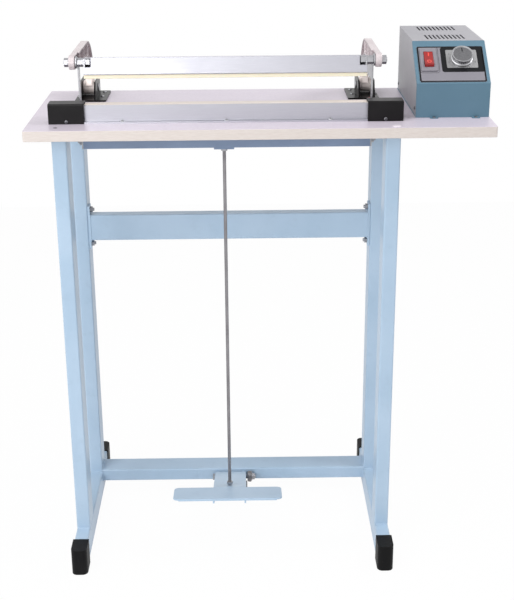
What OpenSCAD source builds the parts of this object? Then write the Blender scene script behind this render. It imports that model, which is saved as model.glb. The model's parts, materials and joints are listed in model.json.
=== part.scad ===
// Foot-pedal impulse heat sealer on its own stand. Millimetres, +Z up, floor at Z = 0.
// The operator stands on the -Y side. X = 0 and Y = 0 lie at the middle of the table.

/* [Table] */
// Depth of the table top
table_d = 343; // [320:1:420]
// Thickness of the laminated table top
table_t = 18; // [15:1:25]
// Height of the table surface above the floor
table_h = 815; // [780:5:900]
// Radius of the table's upright corners
table_r = 4; // [2:1:12]

/* [Stand] */
// Middle of the stand, measured from the middle of the table
stand_x = -56.5; // [-70:0.5:-40]
// How far an end cover reaches past the uprights
stand_inset = 4.5; // [0:0.5:10]
// Distance between the front and the rear uprights, middle to middle
upright_pitch = 219; // [200:1:230]
// Narrow side of the rectangular tube
tube_w = 25; // [20:1:30]
// Wide side of the rectangular tube
tube_d = 50; // [40:1:50]
// Wall of the rectangular tube
tube_wall = 1.5; // [1.2:0.1:2.5]
// Corner radius of the rectangular tube
tube_r = 3; // [2:0.5:4]
// Height of the two base tubes
base_h = 46; // [40:1:50]
// Length of the stand over its foot caps
base_l = 436; // [400:2:520]
// Length of a rubber foot cap
cap_l = 42; // [30:1:60]
// Wall of a rubber foot cap
cap_wall = 2; // [1.5:0.5:4]
// Thickness of a foot cap's rounded toe
cap_toe = 8; // [7.5:0.5:12]
// Thickness of the flat bars that carry the table
carrier_t = 4; // [3:0.5:6]
// Height of the upper stretcher's lower edge
stretcher_z = 545; // [400:5:620]
// Height of the lower stretcher's underside
low_stretcher_z = 27; // [22:1:30]
// Thickness of the upper stretcher's end plates
end_plate_t = 4; // [3:0.5:6]
// How far an end plate stands above and below the stretcher
end_plate_ear = 17; // [14:1:24]
// Diameter of the stand's bolts
stand_bolt_d = 6; // [5:1:8]

/* [Lower jaw] */
// Visible sealing length between the end covers
seal_l = 474; // [420:2:540]
// Sealing line behind the table's front edge
seal_setback = 68.5; // [64:0.5:72]
// Width of the rail's body
rail_d = 20; // [18:1:22]
// Height of the rail
rail_h = 30; // [26:1:34]
// Wall of the rail
rail_wall = 2.2; // [1.8:0.1:3]
// Width of the rail's front foot
rail_foot = 7; // [6:0.5:8]
// Thickness of the rail's front foot
rail_foot_t = 3; // [2:0.5:4]
// Distance between the rail's screws
rail_screw_pitch = 174.5; // [150:0.5:200]
// Thickness of the insulating strip
insulation_t = 0.8; // [0.5:0.1:1.2]
// Width of the heating ribbon
ribbon_w = 6; // [3:0.5:8]
// Thickness of the heating ribbon
ribbon_t = 0.4; // [0.3:0.1:0.6]
// Thickness of the non-stick cloth
cloth_t = 0.3; // [0.2:0.1:0.5]
// Length of an end cover
cover_l = 60; // [50:1:70]
// Height of an end cover
cover_h = 34; // [33.5:0.5:38]
// Wall of an end cover
cover_wall = 1.6; // [1.2:0.1:2]

/* [Hinges] */
// Jaw's hinge axis behind the table's front edge
hinge_setback = 292.5; // [280:0.5:296]
// Jaw's hinge axis above the table
hinge_h = 16.5; // [16:0.5:20]
// Diameter of the hinge pins
pin_d = 10; // [8:0.5:12]
// Radius of the arms' hubs
hub_r = 13; // [11:0.5:13]
// Width of the arms' hubs
hub_w = 23.4; // [20:0.2:24]
// Thickness of the hinge brackets' sheet
bracket_t = 3; // [2:0.5:3]
// Width of a hinge bracket's base
bracket_w = 56; // [52:1:60]
// Depth of a hinge bracket's base
bracket_d = 94; // [80:1:98]
// Front of a hinge bracket's base before the hinge axis
bracket_lead = 57.5; // [50:0.5:60]
// Height of a hinge bracket
bracket_h = 32; // [30:1:36]
// Radial clearance of pins in their bores
pin_play = 0.05; // [0.03:0.01:0.1]

/* [Upper jaw] */
// Angle from the closed jaw to the open jaw
open_angle = 10.2; // [8:0.1:11]
// Height of the jaw bar
bar_h = 29; // [26:1:32]
// Depth of the jaw bar
bar_d = 19; // [18:0.5:21]
// Wall of the jaw bar
bar_wall = 2.2; // [1.8:0.1:2.6]
// Width of the silicone pressing strip
strip_w = 12; // [10:0.5:14]
// Part of the silicone strip that stands below the bar
strip_t = 6; // [4:0.5:7]
// Depth of the bar's groove that holds the strip
strip_seat = 1.2; // [1:0.1:2]
// Gap that is left under the strip when the jaw is closed
seal_gap = 0.4; // [0.3:0.1:0.8]
// Jaw bolts above the underside of the jaw bar
bolt_rise = 21; // [14:0.5:21]
// Thickness of an arm
arm_t = 13.5; // [12:0.5:15]
// Depth of an arm's band
arm_depth = 28; // [24:1:30]
// Depth of an arm's band at the jaw bolt
arm_tip = 22; // [18:1:24]
// Radius of the arm's bend, to the middle of its band
bend_r = 60; // [50:1:64]
// Middle of the arm's bend above the hinge axis
bend_rise = 8; // [4:1:10]
// Web and rim of the cast arm
arm_wall = 3.5; // [2.5:0.5:4]
// Diameter of the jaw bolts
jaw_bolt_d = 8; // [6:1:8]

/* [Pull frame] */
// Thickness of the links
link_t = 2.5; // [2:0.5:4]
// Width of the links
link_w = 12; // [10:1:18]
// Middle of the links behind the table's front edge
link_setback = 104; // [102:0.5:108]
// Height of the crossbar
crossbar_h = 23; // [20:1:30]
// Thickness of the crossbar
crossbar_t = 5; // [4:0.5:6]
// Gap between the crossbar and the underside of the table
crossbar_gap = 13; // [8:1:20]
// Sideways place of the pull rod and the pedal from the middle of the stand
pull_x = -5; // [-10:1:10]
// Diameter of the pull rod
rod_d = 6; // [5:0.5:8]

/* [Pedal] */
// Sideways place of the foot plate from the pedal's neck
plate_shift = -3.5; // [-6:0.5:6]
// Slope of the pedal's neck at rest
pedal_angle = 18.5; // [17:0.5:22]
// Width of the pedal's neck
neck_w = 62; // [50:1:80]
// Length of the pedal's neck from its axis
neck_l = 166; // [162:1:190]
// Height of the neck's top face above its axis
neck_top = 10; // [8:0.5:12]
// Depth of the neck's side flanges
neck_flange = 22; // [20:1:24]
// Sheet thickness of the pedal
pedal_t = 3; // [2:0.5:4]
// Width of the foot plate
plate_w = 203; // [150:1:240]
// Depth of the foot plate
plate_l = 64; // [50:1:90]
// How much flatter the foot plate lies than the neck
plate_bend = 8.5; // [4:0.5:14]
// Diameter of the pedal's pin
pedal_pin_d = 8; // [6:0.5:9]
// Mean radius of the pedal spring's coil
coil_r = 10; // [8:0.5:12]
// Wire of the pedal spring
wire_d = 2.5; // [2:0.1:3]

/* [Control box] */
// Width of the control box
box_w = 124.5; // [118:0.5:130]
// Gap between the control box and the table's right edge
box_inset = 1.3; // [1:0.1:6]
// Gap between the right end cover and the control box
box_gap = 23.7; // [15:0.1:40]
// Front of the control box behind the table's front edge
box_setback = 75; // [65:1:80]
// Depth of the control box
box_d = 260; // [230:1:266]
// Height of the upright part of the front
box_front_h = 57.5; // [50:0.5:65]
// Slope of the control panel
panel_angle = 37.4; // [34:0.2:45]
// Length of the sloping panel
panel_l = 97.7; // [95:0.1:104]
// Sheet thickness of the box
box_t = 1.2; // [1:0.1:2]
// Number of vent slots in a row
vent_count = 10; // [5:1:12]
// Distance between vent slots
vent_pitch = 7; // [6:0.1:8]
// Diameter of the timer knob
knob_d = 37; // [32:1:40]
// Height of the timer knob
knob_h = 12; // [10:0.5:16]

/* [Hidden] */

// Colours of the object
frame_blue = [0.69, 0.8, 0.9];
box_blue = [0.4, 0.54, 0.62];
cover_grey = [0.66, 0.65, 0.67];
cast_grey = [0.78, 0.74, 0.76];
laminate = [0.82, 0.78, 0.83];
nut_flats_ratio = 1.65;
nut_height_ratio = 0.8;
steel = [0.72, 0.73, 0.75];
alu = [0.8, 0.8, 0.84];
black = [0.12, 0.12, 0.13];

// Sealing line, and the pieces that follow its length
cover_in = seal_l / 2;
cover_out = cover_in + cover_l;
rail_end_gap = 15.4;
rail_l = 2 * (cover_out - cover_wall - rail_end_gap);
bar_end_gap = 1;
bar_end = cover_in - bar_end_gap;
spacer_l = 11;
arm_in = bar_end + spacer_l;
arm_x = arm_in + arm_t / 2;
arm_out = arm_in + arm_t;
side_gap = 0.3;

// Table and stand
table_w = 2 * (stand_x + cover_out + box_gap + box_w + box_inset);
front_y = -table_d / 2;
stand_w = 2 * (cover_out - stand_inset);
table_bottom = table_h - table_t;
leg_x = stand_w / 2 - tube_w / 2;
leg_inner = stand_w / 2 - tube_w;
upright_y = upright_pitch / 2;
base_top = cap_wall + base_h;
upright_top = table_bottom - carrier_t;
stretcher_face = upright_y - tube_d / 2;

// Lower jaw, with the sealing line on top of the cloth
seal_y = front_y + seal_setback;
rail_top = table_h + rail_h;
cloth_top = rail_top + insulation_t + ribbon_t + cloth_t;
rail_foot_y = seal_y - rail_d / 2 - rail_foot;
cover_front = rail_foot_y - cover_wall;
cover_d = rail_foot + rail_d + 2 * cover_wall + 0.2;

// Jaw hinge, and the jaw bolts in the closed and in the open jaw
hinge_y = front_y + hinge_setback;
hinge_z = table_h + hinge_h;
bar_bottom = cloth_top + seal_gap + strip_t;
bolt_u = hinge_y - seal_y;
bolt_v = bar_bottom + bolt_rise - hinge_z;
bolt_y = hinge_y - bolt_u * cos(open_angle) + bolt_v * sin(open_angle);
bolt_z = hinge_z + bolt_u * sin(open_angle) + bolt_v * cos(open_angle);
bolt_drop = bolt_z - hinge_z - bolt_v;
bolt_advance = bolt_y - seal_y;

// Links hang against the inner side of the arms' front ends
link_y = front_y + link_setback;
link_front = link_y - link_w / 2;
link_back = link_y + link_w / 2;
ear_d = 18;
crossbar_top = table_bottom - crossbar_gap;
crossbar_bottom = crossbar_top - crossbar_h;

// Pull rod hangs just behind the crossbar, with room for its nuts
rod_nut_flats = rod_d * nut_flats_ratio;
rod_nut_t = rod_d * nut_height_ratio;
pull_y = link_front + crossbar_t + rod_nut_flats * 0.7;

// Pedal axis lies one coil in front of the lower stretcher
pedal_y = stretcher_face - coil_r - wire_d / 2;
pedal_z = low_stretcher_z + tube_w / 2;
neck_mid = neck_top - pedal_t / 2;
rod_u = (pedal_y - pull_y + neck_mid * sin(pedal_angle)) / cos(pedal_angle);
rod_foot_z = pedal_z + rod_u * sin(pedal_angle) + neck_mid * cos(pedal_angle);

// Control box
box_right = table_w / 2 - box_inset;
box_x = box_right - box_w / 2;
box_front = front_y + box_setback;
box_back = box_front + box_d;
bend_z = table_h + box_front_h;
panel_top_y = box_front + panel_l * cos(panel_angle);
box_top = bend_z + panel_l * sin(panel_angle);

// ---------- shared shapes ----------

module rounded_rect(w, d, r) {
    square([w - 2 * r, d], center = true);
    square([w, d - 2 * r], center = true);
    for (sx = [-1, 1], sy = [-1, 1])
        translate([sx * (w / 2 - r), sy * (d / 2 - r)])
            circle(r = r, $fn = 24);
}

module tube_section(w, d) {
    difference() {
        rounded_rect(w, d, tube_r);
        rounded_rect(w - 2 * tube_wall, d - 2 * tube_wall, tube_r - tube_wall / 2);
    }
}

// Extrudes a side view, drawn as [Y, Z], along X
module side_view(x0, x1)
    translate([x0, 0, 0])
        rotate([90, 0, 90])
            linear_extrude(x1 - x0)
                children();

// Cylinder along X
module x_cylinder(x0, x1, d, n = 32)
    translate([x0, 0, 0])
        rotate([0, 90, 0])
            cylinder(h = x1 - x0, d = d, $fn = n);

// Hexagon along X, measured across its flats
module x_hex(x0, x1, flats)
    x_cylinder(x0, x1, flats / cos(30), 6);

module at(y, z)
    translate([0, y, z])
        children();

module both_sides() {
    children();
    mirror([1, 0, 0])
        children();
}

module on_stand()
    translate([stand_x, 0, 0])
        children();

// Straight round wire from one point to another
module wire(from, to, d) {
    v = to - from;
    len = norm(v);
    translate(from)
        rotate([0, acos(v[2] / len), atan2(v[1], v[0])])
            cylinder(h = len, d = d, $fn = 16);
}

// Countersunk or pan screw head with a shank, driven along -Z
module wood_screw(head_d, head_h, shank_d, shank_l) {
    cylinder(h = head_h, d1 = head_d, d2 = head_d * 0.6, $fn = 24);
    translate([0, 0, -shank_l])
        cylinder(h = shank_l, d = shank_d, $fn = 16);
}

// ---------- stand ----------

module upright(side, end)
    color(frame_blue)
        on_stand()
            difference() {
                translate([side * leg_x, end * upright_y, base_top])
                    linear_extrude(upright_top - base_top)
                        tube_section(tube_w, tube_d);
                if (end > 0)
                    for (z = stretcher_bolt_z)
                        at(stretcher_y, z)
                            x_cylinder(side * leg_inner - 2 * tube_wall, side * leg_inner + 2 * tube_wall,
                                stand_bolt_d + bolt_play);
            }

module left_front_upright() upright(-1, -1);
module left_rear_upright() upright(-1, 1);
module right_front_upright() upright(1, -1);
module right_rear_upright() upright(1, 1);

module base_tube(side)
    color(frame_blue)
        on_stand()
            translate([side * leg_x, base_l / 2 - cap_toe, cap_wall + base_h / 2])
                rotate([90, 0, 0])
                    linear_extrude(base_l - 2 * cap_toe)
                        tube_section(tube_w, base_h);

module left_base_tube() base_tube(-1);
module right_base_tube() base_tube(1);

// Rubber shoe that is pushed over a tube's end, with a toe that is rounded in plan
module foot_cap() {
    half = tube_w / 2 + cap_wall;
    toe_r = 10;
    difference() {
        linear_extrude(base_h + 2 * cap_wall) {
            translate([-half, toe_r])
                square([2 * half, cap_l - toe_r]);
            translate([-half + toe_r, 0])
                square([2 * (half - toe_r), toe_r + 1]);
            for (sx = [-1, 1])
                translate([sx * (half - toe_r), toe_r])
                    circle(r = toe_r, $fn = 48);
        }
        translate([0, cap_l + 1, cap_wall + base_h / 2])
            rotate([90, 0, 0])
                linear_extrude(cap_l + 1 - cap_toe)
                    rounded_rect(tube_w, base_h, tube_r);
    }
}

module foot_caps()
    color(black)
        on_stand()
            both_sides()
                for (end = [0, 180])
                    translate([leg_x, 0, 0])
                        rotate([0, 0, end])
                            translate([0, -base_l / 2, 0])
                                foot_cap();

module table_carriers()
    color(frame_blue)
        on_stand()
            both_sides()
                translate([leg_x, 0, upright_top])
                    linear_extrude(carrier_t)
                        difference() {
                            square([tube_w, upright_pitch + tube_d], center = true);
                            carrier_holes();
                        }

carrier_hole_pitch = upright_pitch / 3;
carrier_screw_d = 4;
bolt_play = 0.4;

module carrier_holes()
    for (k = [-1, 0, 1])
        translate([0, k * carrier_hole_pitch])
            circle(d = carrier_screw_d + bolt_play, $fn = 24);

// Upper stretcher stands on edge between the rear uprights
stretcher_top = stretcher_z + tube_d;
stretcher_y = stretcher_face + tube_w / 2;
end_plate_x = leg_inner - end_plate_t;
stretcher_bolt_z = [stretcher_z - end_plate_ear / 2, stretcher_top + end_plate_ear / 2];

module upper_stretcher()
    color(frame_blue)
        on_stand()
            translate([-end_plate_x, stretcher_y, stretcher_z + tube_d / 2])
                rotate([90, 0, 90])
                    linear_extrude(2 * end_plate_x)
                        tube_section(tube_w, tube_d);

module stretcher_end_plates()
    color(frame_blue)
        on_stand()
            both_sides()
                difference() {
                    translate([end_plate_x, stretcher_y, stretcher_z + tube_d / 2])
                        rotate([90, 0, 90])
                            linear_extrude(end_plate_t)
                                rounded_rect(tube_w, tube_d + 2 * end_plate_ear, tube_r);
                    for (z = stretcher_bolt_z)
                        at(stretcher_y, z)
                            x_cylinder(end_plate_x - 1, leg_inner + 1, stand_bolt_d + bolt_play);
                }

stand_nut_flats = stand_bolt_d * nut_flats_ratio;
stand_nut_t = stand_bolt_d * nut_height_ratio;

// Bolt heads and nuts sit on both sides of the end plate and the upright's inner wall
module stretcher_bolts()
    color(steel)
        on_stand()
            both_sides()
                for (z = stretcher_bolt_z)
                    at(stretcher_y, z) {
                        x_cylinder(end_plate_x - stand_nut_t - 3, leg_inner + tube_wall, stand_bolt_d, 24);
                        x_hex(end_plate_x - stand_nut_t, end_plate_x, stand_nut_flats);
                    }

low_stretcher_y = upright_y;

module lower_stretcher()
    color(frame_blue)
        on_stand()
            translate([-leg_inner, low_stretcher_y, low_stretcher_z + tube_w / 2])
                rotate([90, 0, 90])
                    linear_extrude(2 * leg_inner)
                        tube_section(tube_d, tube_w);

// ---------- table ----------

link_in = arm_in;
link_out = link_in + link_t;
slot_side_gap = 4;
slot_end_gap = 5;
slot_x = (link_in + link_out) / 2;
slot_w = link_t + 2 * slot_side_gap;
slot_front = link_y - link_w / 2 - bolt_advance - slot_end_gap;
slot_back = link_y + link_w / 2 + slot_end_gap;

module table_top()
    color(laminate)
        translate([0, 0, table_bottom])
            linear_extrude(table_t)
                difference() {
                    rounded_rect(table_w, table_d, table_r);
                    translate([stand_x, 0])
                        for (side = [-1, 1])
                            translate([side * slot_x, (slot_front + slot_back) / 2])
                                square([slot_w, slot_back - slot_front], center = true);
                }

// Screws that hold the table on the carriers, driven from below
module table_screws()
    color(steel)
        on_stand()
            both_sides()
                for (k = [-1, 0, 1])
                    translate([leg_x, k * carrier_hole_pitch, upright_top])
                        rotate([180, 0, 0])
                            cylinder(h = 2.2, d1 = 8, d2 = 5, $fn = 24);

// ---------- pedal hinge on the lower stretcher ----------

neck_in = neck_w / 2 - pedal_t;
lug_t = 4;
lug_h = 2 * ((neck_top - pedal_t) * cos(pedal_angle) - side_gap);
lug_x = neck_in - side_gap - lug_t;

module lug_outline() {
    difference() {
        union() {
            translate([pedal_y, pedal_z])
                circle(r = lug_h / 2, $fn = 48);
            translate([pedal_y, pedal_z - lug_h / 2])
                square([stretcher_face - pedal_y, lug_h]);
        }
        translate([pedal_y, pedal_z])
            circle(d = pedal_pin_d + 2 * pin_play, $fn = 48);
    }
}

module pedal_lugs()
    color(frame_blue)
        on_stand()
            translate([pull_x, 0, 0])
                both_sides()
                    side_view(lug_x, lug_x + lug_t)
                        lug_outline();

// ---------- lower jaw ----------

module rail_outline() {
    difference() {
        union() {
            translate([seal_y - rail_d / 2, table_h])
                square([rail_d, rail_h]);
            translate([rail_foot_y, table_h])
                square([rail_foot + 1, rail_foot_t]);
        }
        translate([seal_y - rail_d / 2 + rail_wall, table_h + rail_foot_t])
            square([rail_d - 2 * rail_wall, rail_h / 2 - rail_foot_t]);
        translate([seal_y - rail_d / 2 + rail_wall, table_h + rail_h / 2 + rail_wall])
            square([rail_d - 2 * rail_wall, rail_h / 2 - 2 * rail_wall]);
    }
}

rail_screw_d = 3.5;
rail_screw_y = rail_foot_y + rail_foot / 2;

module lower_rail()
    color(alu)
        on_stand()
            difference() {
                side_view(-rail_l / 2, rail_l / 2)
                    rail_outline();
                for (k = [-1, 0, 1])
                    translate([k * rail_screw_pitch, rail_screw_y, table_h - 1])
                        cylinder(h = rail_foot_t + 2, d = rail_screw_d + bolt_play, $fn = 24);
            }

module rail_screws()
    color(steel)
        on_stand()
            for (k = [-1, 0, 1])
                translate([k * rail_screw_pitch, rail_screw_y, table_h + rail_foot_t])
                    wood_screw(rail_foot - 0.6, 2, rail_screw_d, rail_foot_t);

module insulating_strip()
    color("beige")
        on_stand()
            translate([-rail_l / 2, seal_y - rail_d / 2 + 1, rail_top])
                cube([rail_l, rail_d - 2, insulation_t]);

ribbon_l = rail_l - 24;

module heating_ribbon()
    color(steel)
        on_stand()
            translate([-ribbon_l / 2, seal_y - ribbon_w / 2, rail_top + insulation_t])
                cube([ribbon_l, ribbon_w, ribbon_t]);

cloth_w = rail_d - 2;

// Cloth lies on the insulating strip and bridges the ribbon
module nonstick_cloth()
    color([0.85, 0.8, 0.72])
        on_stand()
            side_view(-cover_in + 1, cover_in - 1)
                translate([seal_y, rail_top + insulation_t])
                    polygon([
                        [-cloth_w / 2, 0], [-ribbon_w / 2, 0], [-ribbon_w / 2, ribbon_t],
                        [ribbon_w / 2, ribbon_t], [ribbon_w / 2, 0], [cloth_w / 2, 0],
                        [cloth_w / 2, cloth_t], [ribbon_w / 2 + cloth_t, ribbon_t + cloth_t],
                        [-ribbon_w / 2 - cloth_t, ribbon_t + cloth_t], [-cloth_w / 2, cloth_t]]);

clamp_l = 12;
clamp_w = 16;
clamp_t = 0.6;

// Brass bars that hold the ribbon's ends under the covers
module ribbon_clamps()
    color("gold")
        on_stand()
            both_sides()
                translate([ribbon_l / 2 - clamp_l, seal_y - clamp_w / 2, rail_top + insulation_t + ribbon_t])
                    cube([clamp_l, clamp_w, clamp_t]);

// Moulded cover, open below and at the rail's side, with a bevelled top front edge
module cover_outline(inset) {
    polygon([
        [inset, -1], [inset, cover_h - 2 - inset], [2 + inset, cover_h - inset],
        [cover_d - inset, cover_h - inset], [cover_d - inset, -1]]);
}

module cover_shell() {
    difference() {
        intersection() {
            side_view(cover_in, cover_in + cover_l)
                translate([cover_front, table_h])
                    cover_outline(0);
            translate([0, cover_front - 1, table_h])
                cube([table_w, table_d, table_h]);
        }
        side_view(cover_in - 1, cover_in + cover_l - cover_wall)
            translate([cover_front, table_h])
                cover_outline(cover_wall);
        for (z = [table_h + 10, table_h + 22])
            translate([cover_in - 1, cover_front + cover_d / 2, z])
                cube([3, cover_d / 2 + 1, 4]);
    }
}

module left_end_cover()
    color(black)
        on_stand()
            mirror([1, 0, 0])
                cover_shell();

module right_end_cover()
    color(black)
        on_stand()
            cover_shell();

cover_screw_x = cover_in + cover_l / 2;
cover_screw_z = table_h + 4;

// Small pan head, standing out along +Z
module small_head()
    cylinder(h = 1.6, d1 = 6, d2 = 4, $fn = 24);

// Screws of the end covers, of the control box's cover and of its front lugs
module small_screws()
    color(steel) {
        on_stand()
            both_sides()
                translate([cover_screw_x, cover_front, cover_screw_z])
                    rotate([90, 0, 0])
                        small_head();
        for (sx = [-1, 1])
            translate([box_x + lug_shift + sx * lug_pitch / 2, box_front - lug_reach / 2, table_h + box_t])
                small_head();
        for (sx = [-1, 1], y = [box_front + 4 * box_lip, box_back - 2 * box_lip])
            translate([box_x + sx * (box_w / 2 - box_t), y, table_h + 2 * box_lip])
                rotate([0, sx * 90, 0])
                    small_head();
    }

// ---------- jaw hinges ----------

flange_in = hub_w / 2 + side_gap;
flange_top = table_h + bracket_h;

flange_corner_r = 4;
flange_lead = 36;
base_front = hinge_y - bracket_lead;
base_back = base_front + bracket_d;

// Flange in [Y, Z]: level on top, sloped in front, upright behind
module flange_outline() {
    difference() {
        hull() {
            for (y = [hinge_y - flange_lead, base_back - 2 * flange_corner_r])
                translate([y, flange_top - flange_corner_r])
                    circle(r = flange_corner_r, $fn = 24);
            translate([base_front + flange_corner_r, table_h])
                square([bracket_d - 2 * flange_corner_r, 2 * bracket_t]);
        }
        translate([hinge_y, hinge_z])
            circle(d = pin_d, $fn = 64);
    }
}

bracket_shift = -6;
bracket_hole_pitch = 40;
bracket_ear_gap = 24;
bracket_screw_d = 4;
flange_out = flange_in + bracket_t;
bracket_hole_x = [
    (bracket_shift - bracket_w / 2 - flange_out) / 2,
    (bracket_shift + bracket_w / 2 + flange_out) / 2];

module bracket_holes()
    for (x = bracket_hole_x, sy = [-1, 1])
        translate([x, hinge_y + sy * bracket_hole_pitch / 2, 0])
            children();

// U-shaped bracket on the right arm's middle plane, whose base has two ears on the outer side
module hinge_bracket() {
    difference() {
        translate([bracket_shift, base_front + bracket_d / 2, table_h])
            linear_extrude(bracket_t)
                rounded_rect(bracket_w, bracket_d, 3);
        translate([flange_out + side_gap, hinge_y - bracket_ear_gap / 2, table_h - 1])
            cube([bracket_w, bracket_ear_gap, bracket_t + 2]);
        bracket_holes()
            translate([0, 0, table_h - 1])
                cylinder(h = bracket_t + 2, d = bracket_screw_d + bolt_play, $fn = 24);
    }
    both_sides()
        difference() {
            side_view(flange_in, flange_out)
                flange_outline();
            at(hinge_y, hinge_z)
                x_cylinder(flange_in - 1, flange_out + 1, pin_d, 64);
        }
}

module hinge_brackets()
    color(black)
        on_stand()
            both_sides()
                translate([arm_x, 0, 0])
                    hinge_bracket();

pin_head_t = 2;

module hinge_pins()
    color(steel)
        on_stand()
            both_sides()
                translate([arm_x, 0, 0])
                    at(hinge_y, hinge_z) {
                        x_cylinder(-flange_out - pin_head_t, flange_out + 1, pin_d, 64);
                        x_cylinder(-flange_out - pin_head_t, -flange_out, pin_d + 4);
                    }

module bracket_screws()
    color(steel)
        on_stand()
            both_sides()
                translate([arm_x, 0, 0])
                    bracket_holes()
                        translate([0, 0, table_h + bracket_t])
                            wood_screw(6.4, 2, bracket_screw_d, bracket_t);

// ---------- upper jaw ----------

// Children are drawn in the closed jaw and swung open about the hinge axis
module swung_open()
    on_stand()
        at(hinge_y, hinge_z)
            rotate([-open_angle, 0, 0])
                at(-hinge_y, -hinge_z)
                    children();

// Arm's middle line: an arc from the hub, then a straight run to the bolt.
// Drawn in [U, V], with U forward and V up from the hinge axis.
bend_centre = [bend_r, bend_rise];
bolt_reach = [bolt_u, bolt_v] - bend_centre;
run_normal = atan2(bolt_reach[1], bolt_reach[0]) + acos(bend_r / norm(bolt_reach));
run_l = sqrt(norm(bolt_reach) ^ 2 - bend_r ^ 2);
bend_start = 180 + atan2(bend_rise, bend_r);

bend_steps = 18;

// Point on the arm's bend, at step k of its turn and radius r
function on_bend(r, k) =
    let (a = bend_start + k / bend_steps * (run_normal - bend_start))
        bend_centre + r * [cos(a), sin(a)];

// Band of the arm, which narrows along its straight run
module arm_band(half, tip_half) {
    run = run_l * [sin(run_normal), -cos(run_normal)];
    polygon(concat(
        [for (k = [0 : bend_steps]) on_bend(bend_r + half, k)],
        [on_bend(bend_r + tip_half, bend_steps) + run, on_bend(bend_r - tip_half, bend_steps) + run],
        [for (k = [bend_steps : -1 : 0]) on_bend(bend_r - half, k)]));
}

hub_boss_r = hub_r - 1;
front_boss_r = arm_tip / 2 + 1;
rib_t = 3;

module arm_outline() {
    arm_band(arm_depth / 2, arm_tip / 2);
    circle(r = hub_boss_r, $fn = 64);
    translate([bolt_u, bolt_v])
        circle(r = front_boss_r, $fn = 64);
}

// Recess of the casting's inner side, with bosses and cross ribs left standing
module arm_pocket() {
    difference() {
        arm_band(arm_depth / 2 - arm_wall, arm_tip / 2 - arm_wall);
        circle(r = hub_boss_r + 2, $fn = 48);
        translate([bolt_u, bolt_v])
            circle(r = front_boss_r + 2, $fn = 48);
        for (k = [1, 2])
            translate(bend_centre)
                rotate(run_normal - 90)
                    translate([k * run_l / 3, bend_r - arm_depth / 2])
                        square([rib_t, arm_depth]);
        translate(bend_centre)
            rotate(45 + run_normal / 2)
                translate([bend_r - arm_depth / 2, 0])
                    square([arm_depth, rib_t]);
    }
}

// Length of the arm's front end that is thinned for the link
relief_l = arm_depth + link_w;

// Extrudes a [U, V] view along X in the closed jaw
module jaw_view(x0, x1)
    at(hinge_y, hinge_z)
        translate([x0, 0, 0])
            rotate([90, 0, 90])
                linear_extrude(x1 - x0)
                    mirror([1, 0])
                        children();

module arm() {
    difference() {
        union() {
            jaw_view(arm_in, arm_out)
                arm_outline();
            at(hinge_y, hinge_z)
                x_cylinder(arm_x - hub_w / 2, arm_x + hub_w / 2, 2 * hub_r, 64);
        }
        jaw_view(arm_in - 1, arm_out - arm_wall)
            arm_pocket();
        jaw_view(arm_in - 1, link_out + side_gap)
            translate([bolt_u - relief_l, bolt_v - arm_depth])
                square([2 * relief_l, 3 * arm_depth]);
        at(hinge_y, hinge_z)
            x_cylinder(arm_x - hub_w, arm_x + hub_w, pin_d + 2 * pin_play, 64);
        jaw_view(arm_in, arm_out + 1)
            translate([bolt_u, bolt_v])
                circle(d = jaw_bolt_d, $fn = 48);
    }
}

module left_arm()
    color(cast_grey)
        swung_open()
            mirror([1, 0, 0])
                arm();

module right_arm()
    color(cast_grey)
        swung_open()
            arm();

bar_front = seal_y - bar_d / 2;
nut_flats = jaw_bolt_d * 1.625;
nut_t = jaw_bolt_d * nut_height_ratio;
washer_t = 1.6;
bar_plate_t = 2.5;
notch_l = nut_t + washer_t + bar_plate_t + 2;

module bar_outline() {
    difference() {
        translate([seal_y, bar_bottom + bar_h / 2])
            rounded_rect(bar_d, bar_h, 1.5);
        translate([seal_y - bar_d / 2 + bar_wall, bar_bottom + strip_seat + bar_wall])
            square([bar_d - 2 * bar_wall, bar_h - 2 * bar_wall - strip_seat]);
        translate([seal_y - strip_w / 2, bar_bottom - 1])
            square([strip_w, strip_seat + 1]);
    }
}

// Hollow bar whose front and top walls are cut back at both ends to reach the nuts
module jaw_bar()
    color(alu)
        swung_open()
            difference() {
                side_view(-bar_end, bar_end)
                    bar_outline();
                both_sides()
                    translate([bar_end - notch_l, bar_front - 1, bar_bottom + bolt_rise - nut_flats / 2 - 2])
                        cube([notch_l + 1, bar_d - bar_wall + 1, bar_h]);
            }

module silicone_strip()
    color([0.94, 0.88, 0.76])
        swung_open()
            translate([-bar_end, seal_y - strip_w / 2, bar_bottom - strip_t])
                cube([2 * bar_end, strip_w, strip_t + strip_seat]);

module bar_end_plates()
    color(steel)
        swung_open()
            both_sides()
                difference() {
                    translate([
                        bar_end - bar_plate_t, seal_y - bar_d / 2 + bar_wall, bar_bottom + strip_seat + bar_wall])
                        cube([bar_plate_t, bar_d - 2 * bar_wall, bar_h - 2 * bar_wall - strip_seat]);
                    at(seal_y, hinge_z + bolt_v)
                        x_cylinder(bar_end - bar_plate_t - 1, bar_end + 1, jaw_bolt_d, 48);
                }

bolt_end = bar_end - bar_plate_t - washer_t - nut_t - 2;

module on_jaw_bolt()
    swung_open()
        both_sides()
            at(seal_y, hinge_z + bolt_v)
                children();

module jaw_bolts()
    color(steel)
        on_jaw_bolt()
            x_cylinder(bolt_end, arm_out + washer_t + nut_t + 1, jaw_bolt_d, 48);

module jaw_nuts()
    color(steel)
        on_jaw_bolt()
            for (x = [bar_end - bar_plate_t - washer_t - nut_t, arm_out + washer_t])
                difference() {
                    union() {
                        x_hex(x, x + nut_t, nut_flats);
                        x_cylinder(x < arm_out ? x + nut_t : x - washer_t,
                            x < arm_out ? x + nut_t + washer_t : x, nut_flats * 1.1, 48);
                    }
                    x_cylinder(x - washer_t - 1, x + nut_t + washer_t + 1, jaw_bolt_d, 48);
                }

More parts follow.
